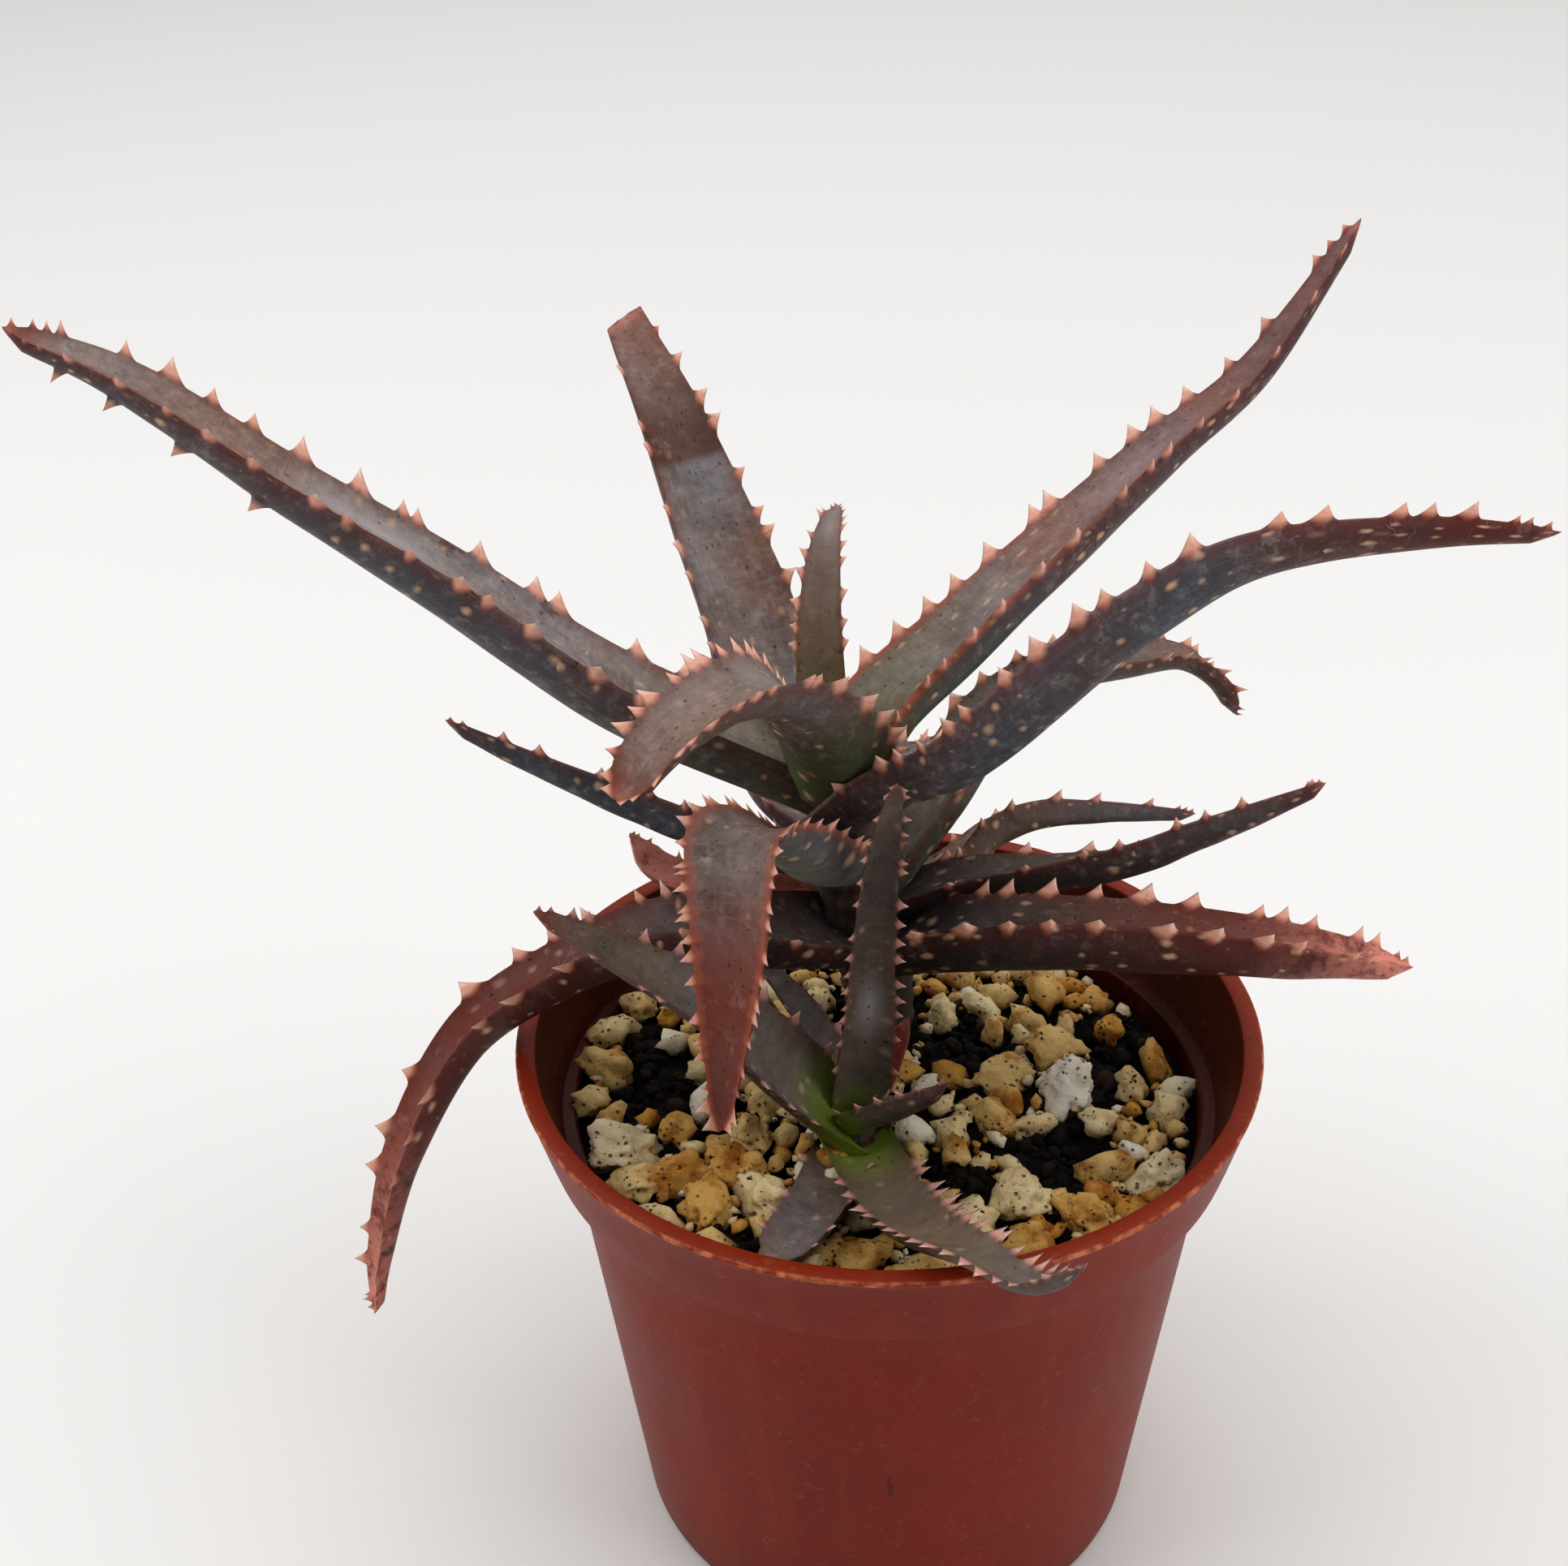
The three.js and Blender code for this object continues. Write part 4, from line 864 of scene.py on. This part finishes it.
def makePot(plan):
    bottom, top, step = plan["baseRadius"], plan["bodyTopRadius"], plan["stepHeight"]
    foot, rim, high = plan["collarFoot"], plan["rimRadius"], plan["height"]
    taper, slope = (top - bottom) / step, (rim - foot) / (high - step)
    lip, shelf, floorTop = rim - plan["rimWall"], plan["shelfHeight"], plan["floorThickness"]
    inner, thin = foot - plan["collarWall"], plan["bodyWall"]
    # radius and height of each ring: the outside from the foot to the rim
    profile = [(bottom - 0.45, 0.18), (bottom - 0.05, 0.6), (bottom + 0.15, 1.2)]
    profile += [(bottom + taper * z, z) for z in (8, 16, 24, 32, 40, 48, step - 0.5)]
    profile += [(top + 0.15, step - 0.1), (top + 0.5, step), (foot - 0.35, step), (foot - 0.05, step + 0.12),
                (foot + 0.06, step + 0.45)]
    profile += [(foot + slope * (z - step), z) for z in (60, 63, high - 0.75)]
    profile += [(rim - 0.02, high - 0.42), (rim - 0.12, high - 0.12), (rim - 0.4, high)]
    # over the rim and down the inside, past the shelf, to the floor
    profile += [(lip + 0.3, high - 0.02), (lip, high - 0.2), (lip - 0.12, high - 0.6),
                (inner + 0.05, shelf + 0.4), (inner - 0.2, shelf), (top - thin + 0.3, shelf),
                (top - thin, shelf - 0.3), (bottom - thin, floorTop + 0.9), (bottom - thin - 0.8, floorTop)]
    radius, z = bottom - plan["footInset"], 0.0
    deselectAll()
    bpy.ops.mesh.primitive_circle_add(vertices=plan["sides"], radius=radius * mm, fill_type="NGON")
    pot = bpy.context.object
    pot.name = "nurseryPot"
    enterEdit(pot)
    bpy.ops.mesh.select_all(action="SELECT")
    for nextRadius, nextZ in profile:
        bpy.ops.mesh.extrude_region_move(TRANSFORM_OT_translate={"value": (0, 0, (nextZ - z) * mm)})
        grow = nextRadius / radius
        bpy.ops.transform.resize(value=(grow, grow, 1), center_override=(0, 0, nextZ * mm))
        radius, z = nextRadius, nextZ
    # the first disc is the underside; the last ring still has to be closed
    closeOpenEdges()
    drills = []
    for i in range(plan["drainHoles"]):
        angle = 2 * math.pi * (i + 0.5) / plan["drainHoles"]
        away = plan["drainCircle"] * mm
        deselectAll()
        bpy.ops.mesh.primitive_cylinder_add(
            vertices=32, radius=plan["drainRadius"] * mm, depth=3 * plan["floorThickness"] * mm,
            location=(away * math.cos(angle), away * math.sin(angle), 0))
        drills.append(bpy.context.object)
    drill = joinPieces(drills, "drainDrill")
    pickOnly(pot)
    cut = pot.modifiers.new("drainHoles", "BOOLEAN")
    cut.operation = "DIFFERENCE"
    cut.solver = "EXACT"
    cut.object = drill
    bpy.ops.object.modifier_apply(modifier=cut.name)
    bpy.data.objects.remove(drill)
    # a rim is never quite true: a slow waver; and the painted highlight line is marked along its outer edge
    burr = pot.data.attributes.new("burr", "FLOAT", "POINT")
    inside = pot.data.attributes.new("inside", "FLOAT", "POINT")
    for vertex in pot.data.vertices:
        x, y, z = (c / mm for c in vertex.co)
        reach, angle = math.hypot(x, y), math.atan2(y, x)
        midWall = bottom + taper * z - 0.5 * thin
        if z > step + 0.5:
            midWall = inner + 0.3 + slope * (z - step)
        if z > step + 1:
            waver = sum(far * math.sin(turns * angle + start) for far, turns, start in plan["wavers"])
            lift = (z - step) / (high - step)
            vertex.co.x += waver * lift * math.cos(angle) * mm
            vertex.co.y += waver * lift * math.sin(angle) * mm
        burr.data[vertex.index].value = 1.0 if z > high - 0.5 and reach > rim - 0.3 else 0.0
        # inside marks the inner wall, which the pot's material darkens as painted shade
        inside.data[vertex.index].value = 1.0 if 1 < z < high - 0.5 and reach < midWall else 0.0
    pickOnly(pot)
    bpy.ops.object.shade_smooth_by_angle(angle=math.radians(38))
    finishPiece(pot, potMaterial(plan), "pot")


makePot(potPlan)
print("pot made")


# Potting mix: dark peat crumbs with pumice, a foamed glass that is cream where clean and ochre where iron has
# stained it, matt and full of small holes

mixPlan = {
    "surface": 56.6, "tilt": 0.02, "depth": 50, "roughness": [(0.9, 0.55), (0.5, 1.4), (0.25, 3.3)],
    "gridSide": 190, "wallRoom": 0.45,
    "lumps": [  # x, y, radius and lift above the mix of the lumps that show most
        (21.1, 0.2, 3.9, 1.4), (14.6, -18.6, 3.4, 1.2), (-29.3, -12.2, 3.6, 1.3), (-27.2, -17.3, 3, 1),
        (-22.8, -15.6, 3.1, 1.2), (-16.6, -15, 3.1, 1.2), (-15.4, -8.6, 3.2, 1.2), (-13, -20.2, 3.2, 1.2),
        (-19.3, -21.8, 3, 1), (-33, 9.6, 2.8, 1.5), (-33.6, 2.6, 2.8, 1.8), (-30.8, 14.8, 2.4, 1),
        (-34.4, -4.4, 2.2, 2.2), (11.9, 15.4, 2.4, 0.9), (20.4, 8.6, 3.5, 1.4), (7, 14.6, 2.4, 0.9),
        (16.6, 14, 2.4, 0.9), (14, 3, 3.1, 1.1), (11.9, -5, 2.6, 1), (7.2, -7.6, 2.4, 0.9),
        (21.7, -21.9, 3.1, 1.2), (9.2, -21.4, 2.8, 1), (32, 6, 2.2, 0.9), (28.6, 2, 2.4, 0.9),
        (32.4, -2.6, 2.4, 0.9), (27.6, -7.6, 2.2, 0.9), (30.2, -14.4, 2.9, 1), (24.8, -12.8, 2.5, 0.9),
        (-2.7, -28.4, 2.5, 0.9), (27, 12, 2.3, 0.9), (26.8, -20, 2.5, 0.9), (14.4, -26.2, 2.6, 1),
        (-24, -8.8, 2.6, 1), (-14.3, -2.6, 2.7, 1), (-21.5, 2.5, 2, 0.7), (7.5, 3.5, 2, 0.8),
        (17, -5.4, 2.2, 0.8), (24.6, -5.2, 2.1, 0.8), (4.4, -30, 2.2, 0.8), (-8.6, -31.5, 2.2, 0.8),
        (-24.5, -23.5, 2.4, 0.9), (19.5, -27.5, 2.2, 0.8), (-26, 13, 2, 0.7), (-21, 14, 2.4, 0.8),
        (-14, 6, 1.9, 0.7), (-20, 22, 2.6, 0.8), (-6, 27, 2.6, 0.8), (6, 28, 2.4, 0.8), (18, 24, 2.6, 0.8),
        (-12, 15, 2.2, 0.8), (26, 19, 2.2, 0.8),
    ],
    # round patches where the peat shows, and the room that the stems need: x, y and radius
    "bare": [(-27, 0.5, 7), (9, 8, 4.5), (28.5, 11, 5.4), (20, -11, 6), (-29.5, 9, 3), (8, -15, 3),
             (24.5, 3, 3.6)],
    "stems": [(-1, 14, 4.6), (-3.5, -8, 3.4)],
    # each size of stone: subdivisions, first seed, step between seeds, how many, how rugged
    "models": [("largeLump", 4, 3, 7, 8, 1.0), ("middlingLump", 3, 23, 11, 8, 1.0),
               ("smallLump", 2, 61, 5, 8, 1.0), ("grit", 1, 131, 3, 6, 1.0), ("paleLump", 4, 90, 7, 2, 0.5)],
    "paleTints": [0.02, 0.2],  # the first lumps are the two pale ones
    # how many loose stones, their smallest and largest radius, and how closely they may lie
    "scatter": (128, 1.3, 2.8, 0.8), "grit": (330, 0.45, 1.2, 0.62),
    "crumbs": 520, "seed": 417,
    "white": "#e6e0d3", "cream": "#dccb9f", "straw": "#d3b272", "honey": "#c28f40", "ochre": "#b37a2c",
    "rust": "#824818", "pit": "#4a3d2a", "fleck": "#15110e", "soiled": "#3f2d1b",
    "peat": "#17110d", "peatDark": "#0b0807", "peatLight": "#3a2a1d", "bark": "#4d3524",
}


def mixHeight(plan, x, y):
    swell = 0.5 * math.sin(0.33 * x + 1.1) * math.cos(0.29 * y) + 0.35 * math.sin(0.61 * y + 0.47 * x)
    return plan["surface"] + swell - plan["tilt"] * x


def pumiceMaterial(plan):
    material, tree = newMaterial("ironStainedPumice")
    place = placeOf(tree)
    tint = attributeOf(tree, "tint")
    stain = noiseOf(place, 240.0, 6.0, 0.62)
    holes = addNode(tree, "ShaderNodeTexVoronoi", None, {"Vector": place, "Scale": 1150.0})
    fewer = addNode(tree, "ShaderNodeSeparateColor", None, {"Color": holes.outputs["Color"]}).outputs["Green"]
    pits = times(fade(holes.outputs["Distance"], 0.12, 0.3, 0.0, 1.0), fade(fewer, 0.55, 0.6))
    clean = rampOf(plan, tint, [(0.0, "white"), (0.2, "cream"), (0.7, "straw"), (1.0, "honey")])
    colour = coatAll(plan, clean, [
        (times(fade(stain, 0.46, 0.62), fade(tint, 0.1, 0.8, 0.9, 0.1)), "ochre"),
        (times(fade(stain, 0.54, 0.68, 0.9), tint), "rust"),
        # painted shade in the small holes of the pumice
        (times(pits, 0.8), "pit"),
        (fade(noiseOf(place, 950.0, 3.0, 0.6), 0.66, 0.69), "fleck"),
        # painted shade: each stone darker towards its bottom, as in the gaps between stones
        (times(attributeOf(tree, "low"), 0.8), "soiled"),
    ])
    height = calculate("SUBTRACT", times(noiseOf(place, 1700.0, 4.0), 0.5), pits, False)
    closeMaterial(tree, colour, 0.88, {"Specular IOR Level": 0.3}, (0.9, 0.0005, height))
    return material


def peatMaterial(plan):
    material, tree = newMaterial("dampPeat")
    crumbs = noiseOf(placeOf(tree), 900.0, 8.0, 0.7)
    colour = rampOf(plan, crumbs, [(0.3, "peatDark"), (0.55, "peat"), (0.8, "peatLight")])
    colour = coatAll(plan, colour, [(fade(attributeOf(tree, "tint"), 0.5, 1.0, 0.85), "bark")])
    closeMaterial(tree, colour, 0.8, {"Specular IOR Level": 0.3}, (0.9, 0.0008, crumbs))
    return material


def shapeStone(name, subdivisions, seed, rugged=1.0):
    # one lump of pumice, a unit ball pushed in and out and knocked flat on a few sides
    deselectAll()
    bpy.ops.mesh.primitive_ico_sphere_add(subdivisions=subdivisions, radius=1)
    stone = bpy.context.object
    stone.name = name
    dice = random.Random(seed)
    stretch = Vector((dice.uniform(1.05, 1.4), dice.uniform(0.75, 0.98), dice.uniform(0.68, 0.88)))
    chips = []
    for _ in range(4):
        chips.append((Vector((dice.gauss(0, 1), dice.gauss(0, 1), dice.gauss(0, 1))).normalized(),
                      dice.uniform(0.76, 0.95)))
    for vertex in stone.data.vertices:
        way = vertex.co.normalized()
        reach = 1 + rugged * 0.62 * noise.noise(way * 1.15 + Vector((seed, 0, 0)))
        reach += rugged * 0.34 * noise.noise(way * 2.4 + Vector((0, seed, 0)))
        reach += 0.2 * noise.noise(way * 4.1 + Vector((0, 0, seed)))
        reach += 0.07 * noise.noise(way * 11.0 + Vector((0, 0, seed)))
        # hollows where bubbles broke open
        reach -= rugged * 0.3 * max(0, noise.noise(way * 3.4 + Vector((seed, seed, 0))) - 0.22)
        spot = way * reach
        for face, limit in chips:
            spot -= face * 0.75 * max(0, spot.dot(face) - limit)
        vertex.co = spot * stretch
    return stone


def placeStone(model, at, radius, turn, tint):
    copy = model.copy()
    copy.data = model.data.copy()
    bpy.context.collection.objects.link(copy)
    copy.data.transform(Matrix.Translation(Vector(at) * mm) @ turn.to_matrix().to_4x4()
                        @ Matrix.Scale(radius * mm, 4))
    # how far below its centre each point of a stone lies, which the pumice darkens as painted shade
    lows = [min(1, max(0, (at[2] - v.co.z / mm) / radius + 0.1)) for v in copy.data.vertices]
    for name, values in (("tint", [tint] * len(lows)), ("low", lows)):
        copy.data.attributes.new(name, "FLOAT", "POINT").data.foreach_set("value", values)
    return copy


def makePeat(plan, wall, foot, material):
    # a fine grid eased into a disc and roughened, with its side drawn down to the pot's floor
    deselectAll()
    bpy.ops.mesh.primitive_grid_add(x_subdivisions=plan["gridSide"], y_subdivisions=plan["gridSide"],
                                    size=2 * wall * mm)
    peat = bpy.context.object
    peat.name = "peat"
    for vertex in peat.data.vertices:
        x, y = vertex.co.x / (wall * mm), vertex.co.y / (wall * mm)
        vertex.co.x = wall * mm * x * math.sqrt(1 - y * y / 2)
        vertex.co.y = wall * mm * y * math.sqrt(1 - x * x / 2)
    enterEdit(peat)
    bpy.ops.mesh.select_all(action="DESELECT")
    bpy.ops.mesh.select_non_manifold()
    down = -plan["depth"] * mm
    bpy.ops.mesh.extrude_region_move(TRANSFORM_OT_translate={"value": (0, 0, down)})
    bpy.ops.transform.resize(value=(foot / wall, foot / wall, 1), center_override=(0, 0, down))
    closeOpenEdges()
    for vertex in peat.data.vertices:
        x, y = vertex.co.x / mm, vertex.co.y / mm
        if vertex.co.z < 0.8 * down:
            vertex.co.z = (potPlan["floorThickness"] + clearance) * mm
            continue
        here = Vector((x, y, 0))
        rough = sum(high * noise.noise(here * often) for high, often in plan["roughness"])
        edge = max(0, math.hypot(x, y) - wall + 2) / 2
        vertex.co.z = (mixHeight(plan, x, y) - 0.7 + rough - 0.8 * edge) * mm
    pickOnly(peat)
    bpy.ops.object.shade_smooth()
    finishPiece(peat, material, "potting_mix")


def makeMix(plan):
    dice = random.Random(plan["seed"])
    wall = potPlan["bodyTopRadius"] - potPlan["bodyWall"] - plan["wallRoom"]
    foot = potPlan["baseRadius"] - potPlan["bodyWall"] - plan["wallRoom"]
    peatSkin = peatMaterial(plan)
    makePeat(plan, wall, foot, peatSkin)
    large, middling, small, grit, pale = (
        [shapeStone(name, subdivisions, first + every * i, rugged) for i in range(count)]
        for name, subdivisions, first, every, count, rugged in plan["models"])
    stones = []
    placed = []

    def lay(models, x, y, radius, lift, tint):
        turn = Euler((dice.uniform(-0.5, 0.5), dice.uniform(-0.5, 0.5), dice.uniform(0, 6.28)))
        z = mixHeight(plan, x, y) + lift
        stones.append(placeStone(dice.choice(models), (x, y, z), radius, turn, tint))
        placed.append((x, y, radius))

    def anywhere(room):
        angle, reach = dice.uniform(0, 2 * math.pi), (wall - room) * math.sqrt(dice.random())
        return reach * math.cos(angle), reach * math.sin(angle), reach

    def joinAll(name, material):
        joined = joinPieces(stones, name)
        bpy.ops.object.shade_smooth()
        finishPiece(joined, material)
        stones.clear()

    for i, (x, y, radius, lift) in enumerate(plan["lumps"]):
        if i < len(plan["paleTints"]):
            lay(pale, x, y, radius * 0.98, 0.45 * lift, plan["paleTints"][i])
        else:
            tint = dice.uniform(0.15, 1.0)
            lay(large if radius >= 2.9 else middling, x, y, radius * 0.98, 0.45 * lift, tint)
    for models, (left, low, high, crowd) in ((small, plan["scatter"]), (grit, plan["grit"])):
        for _ in range(9000):
            if not left:
                break
            x, y, reach = anywhere(1.3)
            radius = low + (high - low) * dice.random() ** 1.6
            taken = reach > wall - 0.8 * radius
            taken = taken or any(math.hypot(px - x, py - y) < crowd * (pr + radius) for px, py, pr in placed)
            taken = taken or any(math.hypot(sx - x, sy - y) < room + radius for sx, sy, room in plan["stems"])
            if taken or any(math.hypot(bx - x, by - y) < room for bx, by, room in plan["bare"]):
                continue
            lay(models, x, y, radius, 0.4 * radius, dice.uniform(0.05, 1.0) ** 1.2)
            left -= 1
    joinAll("pumice", pumiceMaterial(plan))
    # crumbs of peat and bits of bark lie on top, thickest in the bare patches
    for i in range(plan["crumbs"]):
        if i % 2:
            bx, by, spread = dice.choice(plan["bare"])
            x, y = bx + dice.gauss(0, 0.5 * spread), by + dice.gauss(0, 0.5 * spread)
        else:
            x, y, _ = anywhere(1.5)
        if math.hypot(x, y) > wall - 1.5:
            continue
        radius = 0.35 + 0.9 * dice.random() ** 2
        lay(small if radius > 0.8 else grit, x, y, radius, 0.1 * radius - 0.2, dice.random() ** 2)
    joinAll("peatCrumbs", peatSkin)
    for model in large + pale + middling + small + grit:
        bpy.data.objects.remove(model)


makeMix(mixPlan)
print("potting mix made")


# Trunks: fleshy stems hidden in the dry brown bases of old leaves

trunkPlan = {
    "trunk": {
        "spine": [(-1, 15.5, 44), (-1, 13.5, 60), (-2.5, 9.5, 75), (-4.5, 7, 88), (-6.5, 6, 99)],
        "radius": [3.6, 4.2, 4.6, 4.2, 2.4],
    },
    "offset_trunk": {
        "spine": [(-3.5, -6, 46), (-3.5, -8, 53), (-3.5, -9.5, 60)],
        "radius": [2.4, 3, 2.4],
    },
    "sides": 40, "stations": 96, "ringEvery": 3.1, "lapHeight": 0.35,
    "sheath": "#5a3a26", "sheathDark": "#2c1a12", "sheathPale": "#8a6a4c", "greyed": "#4b4f52",
}


def trunkMaterial(plan):
    material, tree = newMaterial("dryLeafSheath")
    place = placeOf(tree)
    fibres = noiseOf(stretchOf(place, (1.0, 1.0, 0.25)), 900.0, 5.0)
    colour = rampOf(plan, fibres, [(0.35, "sheathDark"), (0.6, "sheath"), (0.8, "sheathPale")])
    colour = coatAll(plan, colour, [(fade(noiseOf(place, 220.0), 0.4, 0.6, 0.6), "greyed")])
    closeMaterial(tree, colour, 0.7, {}, (0.6, 0.0004, fibres))
    return material


def makeTrunk(nodeName, plan, material):
    stem = plan[nodeName]
    trunk, u, station, ring = startTube(nodeName + "_look", plan["stations"], plan["sides"])
    at, along = curvePoints(stem["spine"], u)
    along = unit(along)
    side = unit(np.array((1.0, 0, 0)) - along * along[:, :1])
    other = np.cross(along, side)
    angles = 2 * np.pi * np.arange(plan["sides"]) / plan["sides"]
    # each old leaf base is a ring that laps over the one below
    length = lengthOf(stem["spine"])
    lap = (u * length / plan["ringEvery"])[:, None] + 0.25 * np.sin(angles) + 0.1 * np.sin(3 * angles)
    body = curvePoints(stem["radius"], u)[0] * (1 + 0.04 * np.sin(3 * angles + 5 * u[:, None]))
    body += plan["lapHeight"] * (lap % 1) ** 2 - 0.25
    body *= np.clip(np.minimum(u, 1 - u) * length / 0.8, 0.05, 1)[:, None] ** 0.5
    xyz = (at[:, None] + side[:, None] * (body * np.cos(angles))[..., None]
           + other[:, None] * (body * np.sin(angles))[..., None])
    trunk.data.vertices.foreach_set("co", (xyz[station, ring] * mm).ravel())
    closeTube(trunk)
    finishPiece(trunk, material, nodeName)


sheathFinish = trunkMaterial(trunkPlan)
for trunkName in ("trunk", "offset_trunk"):
    makeTrunk(trunkName, trunkPlan, sheathFinish)
print("trunks made")

deselectAll()
